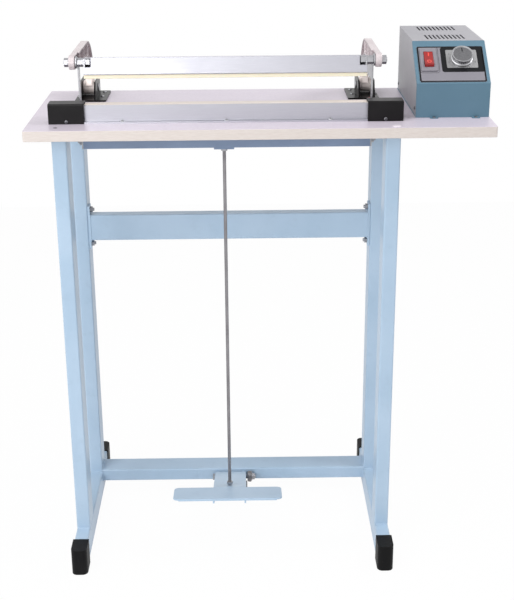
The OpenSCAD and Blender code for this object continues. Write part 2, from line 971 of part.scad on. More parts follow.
module jaw_spacers()
    color(steel)
        on_jaw_bolt()
            difference() {
                x_hex(bar_end, link_in - side_gap, nut_flats);
                x_cylinder(bar_end - 1, link_in + 1, jaw_bolt_d, 48);
            }

// ---------- pull frame ----------

link_head_r = front_boss_r - 2;
link_foot_back = link_front + ear_d;
link_hub_z = bolt_z - link_head_r;
tail_l = 68;
tail_h = 13;
trip_h = 20.4;
tail_bottom = table_h + trip_h + bolt_drop;
link_bolt_z = crossbar_bottom + crossbar_h / 2;

module link_outline(tail) {
    translate([bolt_y, bolt_z])
        circle(r = link_head_r, $fn = 64);
    polygon(concat(
        [[bolt_y, bolt_z + link_head_r], [bolt_y, link_hub_z], [link_front, link_hub_z],
            [link_front, crossbar_bottom], [link_foot_back, crossbar_bottom],
            [link_foot_back, crossbar_top], [link_back, crossbar_top + ear_d / 4]],
        tail ? [
            [link_back, tail_bottom], [link_back + tail_l, tail_bottom],
            [link_back + tail_l, tail_bottom + tail_h], [link_back, tail_bottom + tail_h]] : [],
        [[link_back, bolt_z]]));
}

// Right link has a tail that works the timer's start switch
module link(tail)
    difference() {
        side_view(link_in, link_out)
            link_outline(tail);
        at(bolt_y, bolt_z)
            x_cylinder(link_in - 1, link_out + 1, jaw_bolt_d + 2 * pin_play, 64);
        at(pull_y, link_bolt_z)
            x_cylinder(link_in - 1, link_out + 1, link_bolt_d);
    }

module left_link()
    color(steel)
        on_stand()
            mirror([1, 0, 0])
                link(false);

module right_link()
    color(steel)
        on_stand()
            link(true);

rod_plate_w = 35;
rod_plate_t = 3;
rod_plate_d = ear_d + 6;
link_bolt_d = 8;
link_nut_flats = link_bolt_d * 1.625;
link_nut_t = link_bolt_d * 0.6;

// Flat bar with bent ends, and the plate under its middle that takes the pull rod
module crossbar()
    color(frame_blue)
        on_stand() {
            translate([-link_in, link_front, crossbar_bottom])
                cube([2 * link_in, crossbar_t, crossbar_h]);
            both_sides()
                difference() {
                    translate([link_in - crossbar_t, link_front, crossbar_bottom])
                        cube([crossbar_t, ear_d, crossbar_h]);
                    at(pull_y, link_bolt_z)
                        x_cylinder(link_in - crossbar_t - 1, link_in + 1, link_bolt_d);
                }
            difference() {
                translate([pull_x - rod_plate_w / 2, link_front, crossbar_bottom - rod_plate_t])
                    cube([rod_plate_w, rod_plate_d, rod_plate_t]);
                translate([pull_x, pull_y, crossbar_bottom - rod_plate_t - 1])
                    cylinder(h = rod_plate_t + 2, d = rod_d, $fn = 48);
            }
        }

module crossbar_bolts()
    color(steel)
        on_stand()
            both_sides()
                at(pull_y, link_bolt_z) {
                    x_cylinder(link_in - crossbar_t, link_out + link_nut_t + 3, link_bolt_d);
                    x_hex(link_in - crossbar_t - link_nut_t, link_in - crossbar_t, link_nut_flats);
                    x_hex(link_out, link_out + link_nut_t, link_nut_flats);
                }

rod_top = crossbar_bottom + rod_nut_t + 4;
neck_tilt_room = rod_nut_flats * 0.6 * tan(pedal_angle);
foot_nut_gap = neck_tilt_room + pedal_t;
rod_bottom = rod_foot_z - foot_nut_gap - 2 * rod_nut_t;

module pull_rod()
    color(steel)
        on_stand()
            translate([pull_x, pull_y, rod_bottom])
                cylinder(h = rod_top - rod_bottom, d = rod_d, $fn = 32);

// Nuts above and below the crossbar's plate and the pedal's neck
module rod_nuts()
    color(steel)
        on_stand()
            translate([pull_x, pull_y, 0])
                for (z = [crossbar_bottom, crossbar_bottom - rod_plate_t - rod_nut_t,
                        rod_foot_z + foot_nut_gap, rod_foot_z - foot_nut_gap - rod_nut_t])
                    translate([0, 0, z])
                        difference() {
                            cylinder(h = rod_nut_t, d = rod_nut_flats / cos(30), $fn = 6);
                            translate([0, 0, -1])
                                cylinder(h = rod_nut_t + 2, d = rod_d, $fn = 32);
                        }

// ---------- pedal ----------

// Pedal's own frame: origin on its axis, neck level, front along -Y
module on_pedal()
    on_stand()
        translate([pull_x, pedal_y, pedal_z])
            rotate([-pedal_angle, 0, 0])
                children();

neck_end_l = neck_l + plate_l - 4;
flange_low = neck_top - neck_flange;
rod_hole_d = rod_d + 4;
rod_lead = 0.6;

// Side flange in [Y, Z] of the pedal's own frame
module neck_flange_outline() {
    difference() {
        union() {
            circle(r = neck_top, $fn = 64);
            polygon([
                [0, neck_top], [-neck_l, neck_top], [-neck_l, neck_top - pedal_t],
                [-neck_end_l, neck_top - pedal_t - (neck_end_l - neck_l) * tan(plate_bend) - 0.4],
                [-neck_end_l, flange_low + 3], [-neck_l, flange_low],
                [-2 * neck_flange, flange_low], [0, -neck_top]]);
        }
        circle(d = pedal_pin_d + 2 * pin_play, $fn = 64);
    }
}

module pedal_neck()
    color(frame_blue)
        on_pedal() {
            both_sides()
                side_view(neck_in, neck_w / 2)
                    neck_flange_outline();
            difference() {
                translate([-neck_in, -neck_l, neck_top - pedal_t])
                    cube([2 * neck_in, neck_l, pedal_t]);
                translate([0, -rod_u - rod_lead, neck_top - pedal_t - 1])
                    cylinder(h = pedal_t + 2, d = rod_hole_d, $fn = 48);
            }
        }

plate_r = 10;
plate_lip = 4.5;

// Foot plate, welded to the end of the neck, with a lip turned down at its front
module foot_plate()
    color(frame_blue)
        on_pedal()
            translate([plate_shift, -neck_l - pedal_t * tan(plate_bend), neck_top])
                rotate([plate_bend, 0, 0]) {
                    translate([0, -plate_l / 2, -pedal_t])
                        linear_extrude(pedal_t)
                            rounded_rect(plate_w, plate_l, plate_r);
                    translate([-plate_w / 2 + plate_r, -plate_l, -plate_lip])
                        cube([plate_w - 2 * plate_r, pedal_t, plate_lip]);
                }

spring_leg_x = neck_w / 2 + side_gap + wire_d / 2;
coil_x = spring_leg_x + wire_d / 2 + side_gap;
coil_turns = 4;
coil_pitch = wire_d * 0.96;
coil_l = (coil_turns - 1) * coil_pitch + wire_d;

// Shouldered pin: head on the left, shoulder for the spring and nut on the right
module pedal_pin()
    color(steel)
        on_stand()
            translate([pull_x, 0, 0])
                at(pedal_y, pedal_z) {
                    x_cylinder(-neck_w / 2 - side_gap - 4, coil_x + coil_l + 7, pedal_pin_d, 64);
                    x_hex(-neck_w / 2 - side_gap - 5, -neck_w / 2 - side_gap, pedal_pin_d * 1.6);
                    x_cylinder(coil_x, coil_x + coil_l, 2 * coil_r - wire_d, 64);
                    x_hex(coil_x + coil_l, coil_x + coil_l + 5, pedal_pin_d * 1.6);
                }

// Close-wound torsion spring, with one end against the lower stretcher
module pedal_spring()
    color(steel)
        on_stand()
            translate([pull_x, 0, 0]) {
                at(pedal_y, pedal_z)
                    translate([coil_x + wire_d / 2, 0, 0])
                        rotate([0, 90, 0])
                            rotate_extrude($fn = 64)
                                for (k = [0 : coil_turns - 1])
                                    translate([coil_r, k * coil_pitch])
                                        circle(d = wire_d, $fn = 24);
                translate([coil_x + coil_l - wire_d / 2, pedal_y + coil_r, pedal_z - tube_w / 2 + 2])
                    cylinder(h = tube_w / 2 - 2, d = wire_d, $fn = 24);
            }

leg_reach = 2 * neck_flange;

// Spring's other end, hooked under the neck's flange
module pedal_spring_leg()
    color(steel)
        on_pedal() {
            low = flange_low - wire_d / 2 - side_gap;
            knee = [spring_leg_x, -leg_reach, low];
            wire([spring_leg_x, 0, -coil_r], knee, wire_d);
            translate(knee)
                x_cylinder(-neck_w / 2 + neck_in - wire_d, wire_d / 2, wire_d + 0.4, 24);
        }

// ---------- timer's start switch ----------

trip_x = (link_in + link_out) / 2;
trip_y = link_back + tail_l / 2 - 1;
trip_w = 8;
trip_l = 20;
trip_body_h = 14;
plunger_d = 4;
plunger_travel = 1.4;
plunger_top = table_h + trip_h - 0.1 + plunger_travel;

module trip_switch()
    color(black)
        on_stand()
            difference() {
                translate([trip_x - trip_w / 2, trip_y - trip_l / 2, table_h])
                    cube([trip_w, trip_l, trip_body_h]);
                translate([trip_x, trip_y, table_h + trip_body_h / 2])
                    cylinder(h = trip_body_h, d = plunger_d + 2 * pin_play, $fn = 48);
            }

module trip_plunger()
    color("crimson")
        on_stand()
            translate([trip_x, trip_y, table_h + trip_body_h / 2 + plunger_travel + side_gap])
                cylinder(h = plunger_top - table_h - trip_body_h / 2 - plunger_travel - side_gap,
                    d = plunger_d, $fn = 48);

// ---------- control box ----------

box_lip = 6;
lug_pitch = 71;
lug_shift = 3.7;
lug_w = 14;
lug_reach = 10;
lug_l = lug_reach + box_t;

// Front outline of the box, moved inwards by t, from the top of the panel down
function front_line(t) = [
    [panel_top_y + t * sin(panel_angle), box_top - t * cos(panel_angle)],
    [box_front + t, bend_z - t * cos(panel_angle) + (t - t * sin(panel_angle)) * tan(panel_angle)],
    [box_front + t, table_h + t]];

function backwards(points) = [for (k = [len(points) - 1 : -1 : 0]) points[k]];

// Children are drawn on the sloping panel: X across, Y up the slope, Z outwards
module on_panel()
    translate([box_x, box_front, bend_z])
        rotate([panel_angle, 0, 0])
            children();

rocker_x = -38;
rocker_s = 52.9;
switch_w = 24;
switch_l = 44;
switch_depth = 24;
dial_x = 18.3;
dial_s = 54.4;
bush_d = 10;
bush_nut_d = 16;

module panel_holes(depth) {
    translate([rocker_x - switch_w / 2, rocker_s - switch_l / 2, -depth])
        cube([switch_w, switch_l, 2 * depth]);
    translate([dial_x, dial_s, -depth])
        cylinder(h = 2 * depth, d = bush_d, $fn = 48);
}

// Floor, front and sloping panel in one bent sheet, with narrow side flanges and front lugs
module box_base()
    color(box_blue)
        difference() {
            union() {
                side_view(box_x - box_w / 2, box_x + box_w / 2)
                    polygon(concat(
                        front_line(0), [[box_back - box_t, table_h], [box_back - box_t, table_h + box_t]],
                        backwards(front_line(box_t))));
                for (sx = [-1, 1])
                    side_view(box_x + sx * (box_w / 2 - box_t / 2) - box_t / 2,
                            box_x + sx * (box_w / 2 - box_t / 2) + box_t / 2)
                        polygon(concat(front_line(0), backwards(front_line(box_lip))));
                for (sx = [-1, 1])
                    translate([box_x + lug_shift + sx * lug_pitch / 2, box_front + box_t - lug_l / 2, table_h])
                        linear_extrude(box_t)
                            rounded_rect(lug_w, lug_l, 3);
            }
            on_panel()
                panel_holes(3 * box_t);
        }

vent_w = 3.4;
vent_l = 45;
vent_front_gap = 22;
vent_back_gap = 14;
vent_rows = [panel_top_y + vent_front_gap, box_back - vent_back_gap - vent_l];

module vent(l) {
    translate([-vent_w / 2, 0, 0])
        cube([vent_w, l, 4 * box_t]);
    for (y = [0, l])
        translate([0, y, 0])
            cylinder(h = 4 * box_t, d = vent_w, $fn = 16);
}

cover_half = box_w / 2 - box_t;
gland_side = 30;
gland_rise = 22;
gland_x = box_x - gland_side;
gland_z = table_h + gland_rise;
gland_hole = 14;

// Top, sides and back in one bent sheet, open towards the panel
module box_cover()
    color(cover_grey)
        difference() {
            side_view(box_x - cover_half, box_x + cover_half)
                polygon(concat(
                    front_line(box_t),
                    [[box_back, table_h + box_t], [box_back, box_top], [panel_top_y + 2 * box_t, box_top]]));
            side_view(box_x - cover_half + box_t, box_x + cover_half - box_t)
                polygon([
                    [box_front - 1, table_h - 1], [box_back - box_t, table_h - 1],
                    [box_back - box_t, box_top - box_t], [box_front - 1, box_top - box_t]]);
            for (row = vent_rows, k = [0 : vent_count - 1])
                translate([box_x + (k - (vent_count - 1) / 2) * vent_pitch, row, box_top - 2 * box_t])
                    vent(vent_l);
            translate([gland_x, box_back + 1, gland_z])
                rotate([90, 0, 0])
                    cylinder(h = 4 * box_t, d = gland_hole, $fn = 48);
        }

label_w = 113;
label_l = 80.7;
label_low = 2.9;
label_t = 0.8;

module panel_label()
    color([0.55, 0.56, 0.58])
        difference() {
            on_panel()
                translate([0, label_l / 2 + label_low, 0])
                    linear_extrude(label_t)
                        rounded_rect(label_w, label_l, 3);
            on_panel()
                panel_holes(3 * box_t);
        }

bezel_w = 28.4;
bezel_l = 52.7;
bezel_t = 2.2;
window_w = 16;
window_l = 35;
rocker_depth = 12;

// Switch housing with its bezel, sunk through the panel
module rocker_bezel()
    color(black)
        on_panel()
            difference() {
                translate([rocker_x, rocker_s, 0]) {
                    translate([0, 0, label_t])
                        linear_extrude(bezel_t)
                            rounded_rect(bezel_w, bezel_l, 3);
                    translate([-switch_w / 2, -switch_l / 2, -switch_depth])
                        cube([switch_w, switch_l, switch_depth + label_t]);
                }
                translate([rocker_x - window_w / 2, rocker_s - window_l / 2, -rocker_depth - 4])
                    cube([window_w, window_l, 2 * rocker_depth + 10]);
            }

rocker_tilt = 7;
rocker_w = window_w - 2 * side_gap;
rocker_r = window_l / 2 - side_gap;

// Rocker with a shallow V top, rounded ends and its axis across the panel
module rocker()
    color("firebrick")
        on_panel()
            translate([rocker_x, rocker_s, -1])
                rotate([-rocker_tilt, 0, 0])
                    side_view(-rocker_w / 2, rocker_w / 2)
                        intersection() {
                            circle(r = rocker_r, $fn = 96);
                            polygon([
                                [-rocker_r, -rocker_r / 4], [0, -rocker_depth], [rocker_r, -rocker_r / 4],
                                [rocker_r, 7], [0, 5], [-rocker_r, 7]]);
                        }

dial_w = 52.7;
dial_l = 41;
dial_t = 0.6;

module dial_plate()
    color("silver")
        on_panel()
            translate([dial_x, dial_s, label_t])
                linear_extrude(dial_t)
                    difference() {
                        rounded_rect(dial_w, dial_l, 2);
                        circle(d = bush_d, $fn = 48);
                    }

shaft_d = 6;
bush_nut_t = 2.5;
knob_base = label_t + dial_t + 0.5;
knob_skirt = 2.4;
knob_rim = 1.4;
knob_waist_r = knob_d * 0.46;
knob_rim_r = knob_d * 0.49;
knob_well_r = knob_d * 0.43;
knob_waist_top = knob_h - 2 * knob_rim;
pointer = [1.4, knob_d * 0.26, 1];
pointer_in = knob_d * 0.12;
flutes = 30;
flute_d = 2.2;

// Round knob with a skirt, a fluted waist, a raised rim round its sunken top and a pointer mark
module timer_knob()
    color("silver")
        on_panel()
            translate([dial_x, dial_s, knob_base])
                difference() {
                    rotate_extrude($fn = 96)
                        polygon([
                            [0, 0], [knob_d / 2, 0], [knob_d / 2, knob_skirt],
                            [knob_waist_r, knob_skirt + 1], [knob_waist_r, knob_waist_top],
                            [knob_rim_r, knob_h - knob_rim], [knob_rim_r, knob_h],
                            [knob_rim_r - knob_rim, knob_h], [knob_well_r, knob_h - knob_rim],
                            [0, knob_h - knob_rim]]);
                    translate([0, 0, -1])
                        cylinder(h = bush_nut_t + 1.5, d = bush_nut_d + 2, $fn = 48);
                    cylinder(h = knob_h * 0.7, d = shaft_d, $fn = 32);
                    for (k = [0 : flutes - 1])
                        rotate(k * 360 / flutes)
                            translate([knob_d * 0.475, 0, knob_skirt + 1.4])
                                cylinder(h = knob_waist_top - knob_skirt - 1.8, d = flute_d, $fn = 24);
                    translate([-pointer[0] / 2, pointer_in, knob_h - knob_rim - 0.6])
                        cube(pointer);
                }

timer_depth = 22;

module timer_shaft()
    color(steel)
        on_panel()
            translate([dial_x, dial_s, -timer_depth / 2])
                cylinder(h = timer_depth / 2 + knob_base + knob_h * 0.7, d = shaft_d, $fn = 48);

// Timer potentiometer under the panel, with its bush and nut through it
module timer_body()
    color(steel)
        on_panel()
            translate([dial_x, dial_s, 0])
                difference() {
                    union() {
                        translate([0, 0, -box_t - timer_depth])
                            cylinder(h = timer_depth, d = 30, $fn = 64);
                        translate([0, 0, -box_t - 1])
                            cylinder(h = box_t + label_t + dial_t + bush_nut_t + 1, d = bush_d, $fn = 48);
                        translate([0, 0, label_t + dial_t])
                            cylinder(h = bush_nut_t, d = bush_nut_d, $fn = 6);
                    }
                    translate([0, 0, -timer_depth / 2 - 1])
                        cylinder(h = 2 * timer_depth, d = shaft_d + 2 * pin_play, $fn = 48);
                }

core_w = 76;
core_d = 42;
core_h = 64;
core_back = 40;
coil_bulge = 16;
coil_share = 0.66;
coil_corner_r = 6;

// Mains transformer: laminated core with its winding round the middle limb
module transformer() {
    base_z = table_h + box_t;
    mid_y = (box_front + box_back) / 2 + core_back;
    color([0.35, 0.33, 0.32])
        translate([box_x - core_w / 2, mid_y - core_d / 2, base_z])
            cube([core_w, core_d, core_h]);
    color("peru")
        translate([box_x, mid_y, base_z + core_h / 2])
            rotate([90, 0, 0])
                translate([0, 0, -core_d / 2 - coil_bulge])
                    linear_extrude(core_d + 2 * coil_bulge)
                        rounded_rect(core_w * coil_share, core_h * coil_share, coil_corner_r);
}

board_w = 90;
board_d = 60;
board_t = 1.6;
post_h = 6;
relay = [22, 16, 15];
capacitor_h = 20;
capacitor_d = 13;

// Timer circuit board on four posts, with its relay and capacitor
module circuit_board() {
    board_y = box_front + 20 + board_d / 2;
    part_z = table_h + box_t + post_h + board_t;
    color("darkgreen")
        translate([box_x - board_w / 2, board_y - board_d / 2, table_h + box_t + post_h])
            cube([board_w, board_d, board_t]);
    color("ivory")
        for (sx = [-1, 1], sy = [-1, 1])
            translate([box_x + sx * (board_w / 2 - 5), board_y + sy * (board_d / 2 - 5), table_h + box_t])
                cylinder(h = post_h, d = 6, $fn = 24);
    color("black")
        translate([box_x + board_w / 9, board_y - relay[1] / 2, part_z])
            cube(relay);
    color("navy")
        translate([box_x - board_w / 4, board_y, part_z])
            cylinder(h = capacitor_h, d = capacitor_d, $fn = 32);
}

// Rubber grommet in the back wall, where the mains lead enters
module cord_gland()
    color(black)
        translate([gland_x, box_back + 3, gland_z])
            rotate([90, 0, 0])
                rotate_extrude($fn = 64)
                    polygon([
                        [4, 0], [gland_hole / 2 + 2, 0], [gland_hole / 2 + 2, 3], [gland_hole / 2, 3],
                        [gland_hole / 2, 3 + box_t], [gland_hole / 2 + 2, 3 + box_t],
                        [gland_hole / 2 + 2, 5 + box_t], [4, 5 + box_t]]);

left_front_upright();
left_rear_upright();
right_front_upright();
right_rear_upright();
left_base_tube();
right_base_tube();
foot_caps();
table_carriers();
upper_stretcher();
stretcher_end_plates();
stretcher_bolts();
lower_stretcher();
table_top();
table_screws();
pedal_lugs();
lower_rail();
rail_screws();
insulating_strip();
heating_ribbon();
nonstick_cloth();
ribbon_clamps();
left_end_cover();
right_end_cover();
small_screws();
hinge_brackets();
hinge_pins();
bracket_screws();
left_arm();
right_arm();
jaw_bar();
silicone_strip();
bar_end_plates();
jaw_bolts();
jaw_nuts();
jaw_spacers();
left_link();
right_link();
crossbar();
crossbar_bolts();
pull_rod();
rod_nuts();
pedal_neck();
foot_plate();
pedal_pin();
pedal_spring();
pedal_spring_leg();
trip_switch();
trip_plunger();
box_base();
box_cover();
panel_label();
rocker_bezel();
rocker();
dial_plate();
timer_knob();
timer_shaft();
timer_body();
transformer();
circuit_board();
cord_gland();
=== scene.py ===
# %% [markdown]
# # A foot-pedal heat sealer, dressed around its CAD solids
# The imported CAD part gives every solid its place. This lesson loads it and sets up the camera, makes the
# finishes, lights the stage, and then dresses the solids one group after another.

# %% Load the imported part
import bmesh
import bpy
import json
import math
from mathutils import Matrix, Vector


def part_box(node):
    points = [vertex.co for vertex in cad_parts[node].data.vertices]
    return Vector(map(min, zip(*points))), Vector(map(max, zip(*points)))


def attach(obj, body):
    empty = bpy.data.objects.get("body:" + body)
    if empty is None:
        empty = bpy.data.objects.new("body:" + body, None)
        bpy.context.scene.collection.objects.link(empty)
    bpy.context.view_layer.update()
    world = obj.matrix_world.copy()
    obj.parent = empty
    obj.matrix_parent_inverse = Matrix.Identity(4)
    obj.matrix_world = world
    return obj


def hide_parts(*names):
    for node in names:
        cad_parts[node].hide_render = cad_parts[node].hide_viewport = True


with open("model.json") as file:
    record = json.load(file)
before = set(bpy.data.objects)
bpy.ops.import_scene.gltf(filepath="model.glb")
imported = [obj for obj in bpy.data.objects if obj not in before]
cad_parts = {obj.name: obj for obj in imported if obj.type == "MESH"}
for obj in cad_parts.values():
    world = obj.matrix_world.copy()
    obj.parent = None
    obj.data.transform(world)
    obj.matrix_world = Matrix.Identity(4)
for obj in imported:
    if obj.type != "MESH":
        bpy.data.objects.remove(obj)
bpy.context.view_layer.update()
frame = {"nodes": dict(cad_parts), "record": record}
scene = bpy.context.scene
MM = 0.001

# %% [markdown]
# ## Places that several cells share
# All are in millimetres, in the part's own frame: X to the right, Y to the back and Z up.

# %% Name the shared places
STAND_X = -56.5          # middle of the stand
TABLE_Z = 815.0          # the table's surface
HINGE_Y = 121.0          # axis of the jaw's hinge pins
HINGE_Z = 831.5
ARM_X = 253.75           # middle of an arm, from the stand's middle
HUB_TOP = 860.0          # where an arm's turned hub ends
BOX_X = 326.45           # middle of the control box
BOX_FRONT = -96.5        # front of the control box
IDENTITY = Matrix.Identity(4)
print("stand's middle at X", STAND_X, "and table at Z", TABLE_Z)

# %% [markdown]
# ## Camera
# A long lens a little over two metres away keeps the uprights almost parallel. The camera looks down by
# about 21 degrees, so the table's top shows, and it leans by less than half a degree.

# %% Place the camera
CAMERA_PLACE = Vector((-0.03036, -2.14411, 1.25926))
CAMERA_RIGHT = Vector((0.999876, -0.014090, -0.007099))
CAMERA_UP = Vector((0.011608, 0.352236, 0.935839))
CAMERA_BACK = CAMERA_RIGHT.cross(CAMERA_UP)

camera_data = bpy.data.cameras.new("view_camera")
camera_data.lens = 73.5
camera_data.sensor_width = 36.0
camera = bpy.data.objects.new("view_camera", camera_data)
scene.collection.objects.link(camera)
turn = Matrix((CAMERA_RIGHT, CAMERA_UP, CAMERA_BACK)).transposed().to_4x4()
camera.matrix_world = Matrix.Translation(CAMERA_PLACE) @ turn
scene.camera = camera
scene.view_settings.view_transform = "Standard"
print("camera at", tuple(round(v, 3) for v in camera.location))

# %% [markdown]
# ## Shader maths as Python
# A node tree is easier to read as sums than as wires. `Value` wraps an output socket and overloads the
# operators, so `1 - mask * 0.3` adds its own Math nodes. `Finish` wraps one material and has one method
# that adds any other node.

# %% Wrap a socket
class Value:
    """An output socket that can be used in sums with numbers and with other sockets."""

    def __init__(self, finish, socket):
        self.finish = finish
        self.socket = socket

    def math(self, operation, first, second):
        return self.finish.node("ShaderNodeMath", {"operation": operation}, {0: first, 1: second})

    def __add__(self, other):
        return self.math("ADD", self, other)

    def __radd__(self, other):
        return self.math("ADD", other, self)

    def __sub__(self, other):
        return self.math("SUBTRACT", self, other)

    def __rsub__(self, other):
        return self.math("SUBTRACT", other, self)

    def __mul__(self, other):
        return self.math("MULTIPLY", self, other)

    def __rmul__(self, other):
        return self.math("MULTIPLY", other, self)

    def __gt__(self, other):
        return self.math("GREATER_THAN", self, other)

    def __lt__(self, other):
        return self.math("LESS_THAN", self, other)


# %% Wrap a material
def linear(red, green, blue):
    """A colour given as it looks on a screen, 0 to 255, as the linear values that a shader takes."""
    def channel(level):
        level = level / 255
        return level / 12.92 if level <= 0.04045 else ((level + 0.055) / 1.055) ** 2.4
    return (channel(red), channel(green), channel(blue), 1.0)


class Finish:
    """One material, with the sockets of its shader and the masks that its looks are made of."""

    def __init__(self, name, metallic=0.0, **fixed):
        self.material = bpy.data.materials.new(name)
        self.material.use_nodes = True
        self.tree = self.material.node_tree
        self.shader = self.tree.nodes["Principled BSDF"]
        self.shader.inputs["Metallic"].default_value = metallic
        for socket, value in fixed.items():
            self.shader.inputs[socket.replace("_", " ")].default_value = value
        place = self.tree.nodes.new("ShaderNodeTexCoord")
        self.place = Value(self, place.outputs["Object"])

    def node(self, kind, settings, inputs, output=0):
        added = self.tree.nodes.new(kind)
        for name, value in settings.items():
            setattr(added, name, value)
        for name, value in inputs.items():
            self.feed(added.inputs[name], value)
        return Value(self, added.outputs[output])

    def feed(self, socket, value):
        if isinstance(value, Value):
            self.tree.links.new(value.socket, socket)
        else:
            socket.default_value = value

    def set(self, **sockets):
        for name, value in sockets.items():
            self.feed(self.shader.inputs[name.replace("_", " ")], value)
        return self

    def axis(self, name):
        return self.node("ShaderNodeSeparateXYZ", {}, {0: self.place}, name)

    def facing(self, name):
        """One part of the surface's normal: 1 where it faces along the axis, -1 where it faces back."""
        normal = self.node("ShaderNodeNewGeometry", {}, {}, "Normal")
        return self.node("ShaderNodeSeparateXYZ", {}, {0: normal}, name)

    def wave(self, axis, length):
        """Sine along an axis, with its wavelength in metres."""
        turns = self.axis(axis) * (2 * math.pi / length)
        return self.node("ShaderNodeMath", {"operation": "SINE"}, {0: turns})

    def noise(self, scale, detail=3.0, stretch=(1, 1, 1), rough=0.5):
        spot = self.node("ShaderNodeMapping", {}, {"Vector": self.place, "Scale": stretch})
        return self.node("ShaderNodeTexNoise", {},
                         {"Vector": spot, "Scale": scale, "Detail": detail, "Roughness": rough})

    def cells(self, scale):
        """Distance to the nearest of many scattered points."""
        return self.node("ShaderNodeTexVoronoi", {}, {"Vector": self.place, "Scale": scale}, "Distance")

    def between(self, value, low, high, start=0.0, end=1.0):
        return self.node("ShaderNodeMapRange", {"clamp": True},
                         {0: value, 1: low, 2: high, 3: start, 4: end})

    def mix(self, factor, first, second):
        """Colour that goes from first to second; Mix keeps it coloured, where Math would turn it grey."""
        return self.node("ShaderNodeMix", {"data_type": "RGBA"}, {0: factor, 6: first, 7: second}, 2)

    def bump(self, height, strength, depth):
        return self.node("ShaderNodeBump", {},
                         {"Strength": strength, "Distance": depth, "Height": height})

    def edges(self, radius, low, high):
        """Mask that is 1 on worn outer edges: the rounded normal leaves the true one only there."""
        soft = self.node("ShaderNodeBevel", {"samples": 4}, {"Radius": radius})
        true = self.node("ShaderNodeNewGeometry", {}, {}, "Normal")
        same = self.node("ShaderNodeVectorMath", {"operation": "DOT_PRODUCT"}, {0: soft, 1: true},
                         "Value")
        return self.between(1 - same, low, high)


print("shader helpers ready")

# %% [markdown]
# ## Painted finishes
# Powder coat is smooth plastic melted onto steel: it has a fine orange peel, slightly uneven gloss and
# faint patches of grime. One function makes all painted finishes, so the frame, the box and its cover
# differ only in colour and gloss.

# %% Powder coats
def powder_coat(name, colour, shade, gloss):
    paint = Finish(name, IOR=1.5)
    cloudy = paint.between(paint.noise(9, 4), 0.35, 0.7)
    grime = paint.between(paint.noise(38, 6, rough=0.7), 0.56, 0.78) * 0.35
    tone = paint.mix(cloudy, linear(*colour), linear(*shade))
    dull = tuple(c * 0.8 for c in linear(*shade)[:3]) + (1.0,)
    paint.set(Base_Color=paint.mix(grime, tone, dull))
    paint.set(Roughness=gloss + 0.1 * paint.noise(60, 5) + 0.12 * grime)
    paint.set(Normal=paint.bump(paint.noise(620, 2) + 0.3 * paint.noise(95, 2), 0.25, 0.0004))
    return paint.material


blue_paint = powder_coat("frame_powder_coat", (175, 197, 218), (165, 189, 211), 0.3)
# Painted shade: the crossbar gets a darker copy of the frame's blue, for the shade the table casts on it.
painted_shade_coat = powder_coat("crossbar_coat_with_painted_shade", (126, 144, 172), (116, 134, 162), 0.34)
teal_paint = powder_coat("box_powder_coat", (88, 121, 140), (80, 113, 132), 0.36)
grey_paint = powder_coat("cover_powder_coat", (158, 157, 162), (150, 149, 155), 0.4)
print("powder coats:", blue_paint.name, teal_paint.name, grey_paint.name)

# %% Black enamel with bare edges
def black_enamel(name):
    paint = Finish(name, IOR=1.5, Specular_IOR_Level=0.12)
    wear = paint.edges(0.0006, 0.02, 0.16) * paint.between(paint.noise(170, 5), 0.5, 0.64)
    dust = paint.between(paint.noise(30, 6), 0.52, 0.8) * 0.08
    base = paint.mix(dust, linear(9, 7, 9), linear(60, 57, 59))
    paint.set(Base_Color=paint.mix(wear, base, linear(150, 145, 142)))
    paint.set(Metallic=wear * 0.8, Roughness=0.28 + 0.2 * dust + 0.1 * wear)
    paint.set(Normal=paint.bump(paint.noise(480, 3), 0.25, 0.0003))
    return paint.material


bracket_black = black_enamel("hinge_bracket_enamel")

# %% [markdown]
# ## Bare metals
# Extruded aluminium shows fine lines along its length, and zinc plate shows soft grey clouds. These are
# fully metallic, so what differs is how rough they are and in which direction the marks run. A casting is
# matt, pebbled and lacquered, so it is only a little metallic.

# %% Metals
def drawn_metal(name, colour, dark, gloss, along=(1, 60, 60), lines=0.25):
    """Metal that varies between two colours. The marks run along the axis where `along` is smallest."""
    metal = Finish(name, metallic=1.0)
    draw = metal.noise(40, 6, stretch=along, rough=0.65)
    cloud = metal.between(metal.noise(12, 4), 0.3, 0.75)
    streaks = metal.between(draw, 0.3, 0.75) * 0.6 + 0.3 * cloud
    metal.set(Base_Color=metal.mix(streaks, linear(*colour), linear(*dark)))
    metal.set(Roughness=gloss + 0.14 * draw + 0.08 * cloud)
    metal.set(Normal=metal.bump(draw, lines, 0.0002))
    return metal.material


extrusion = drawn_metal("extruded_aluminium", (184, 184, 191), (166, 166, 174), 0.3)
turned = drawn_metal("satin_aluminium", (128, 128, 130), (84, 84, 88), 0.3, (8, 8, 8), 0.12)
dial_metal = drawn_metal("dial_plate_aluminium", (176, 176, 177), (118, 118, 120), 0.34, (60, 3, 3), 0.2)
knob_metal = drawn_metal("knob_aluminium", (186, 186, 188), (146, 146, 150), 0.26, (3, 3, 3), 0.15)
rim_metal = drawn_metal("turned_rim_aluminium", (226, 226, 228), (196, 196, 200), 0.18, (6, 6, 6))
zinc = drawn_metal("zinc_plate", (178, 178, 181), (142, 142, 147), 0.28, (4, 4, 4), 0.15)
spring_steel = drawn_metal("spring_steel", (150, 148, 150), (104, 102, 105), 0.3, (3, 3, 3))
screw_steel = drawn_metal("dulled_screw_steel", (120, 120, 124), (84, 84, 90), 0.34, (4, 4, 4))
ribbon_metal = drawn_metal("heating_ribbon_alloy", (190, 180, 170), (150, 140, 132), 0.3)
brass = drawn_metal("clamp_brass", (214, 180, 96), (180, 146, 70), 0.25)

# %% Threaded rods and bolts
THREAD_PITCH = 1.25


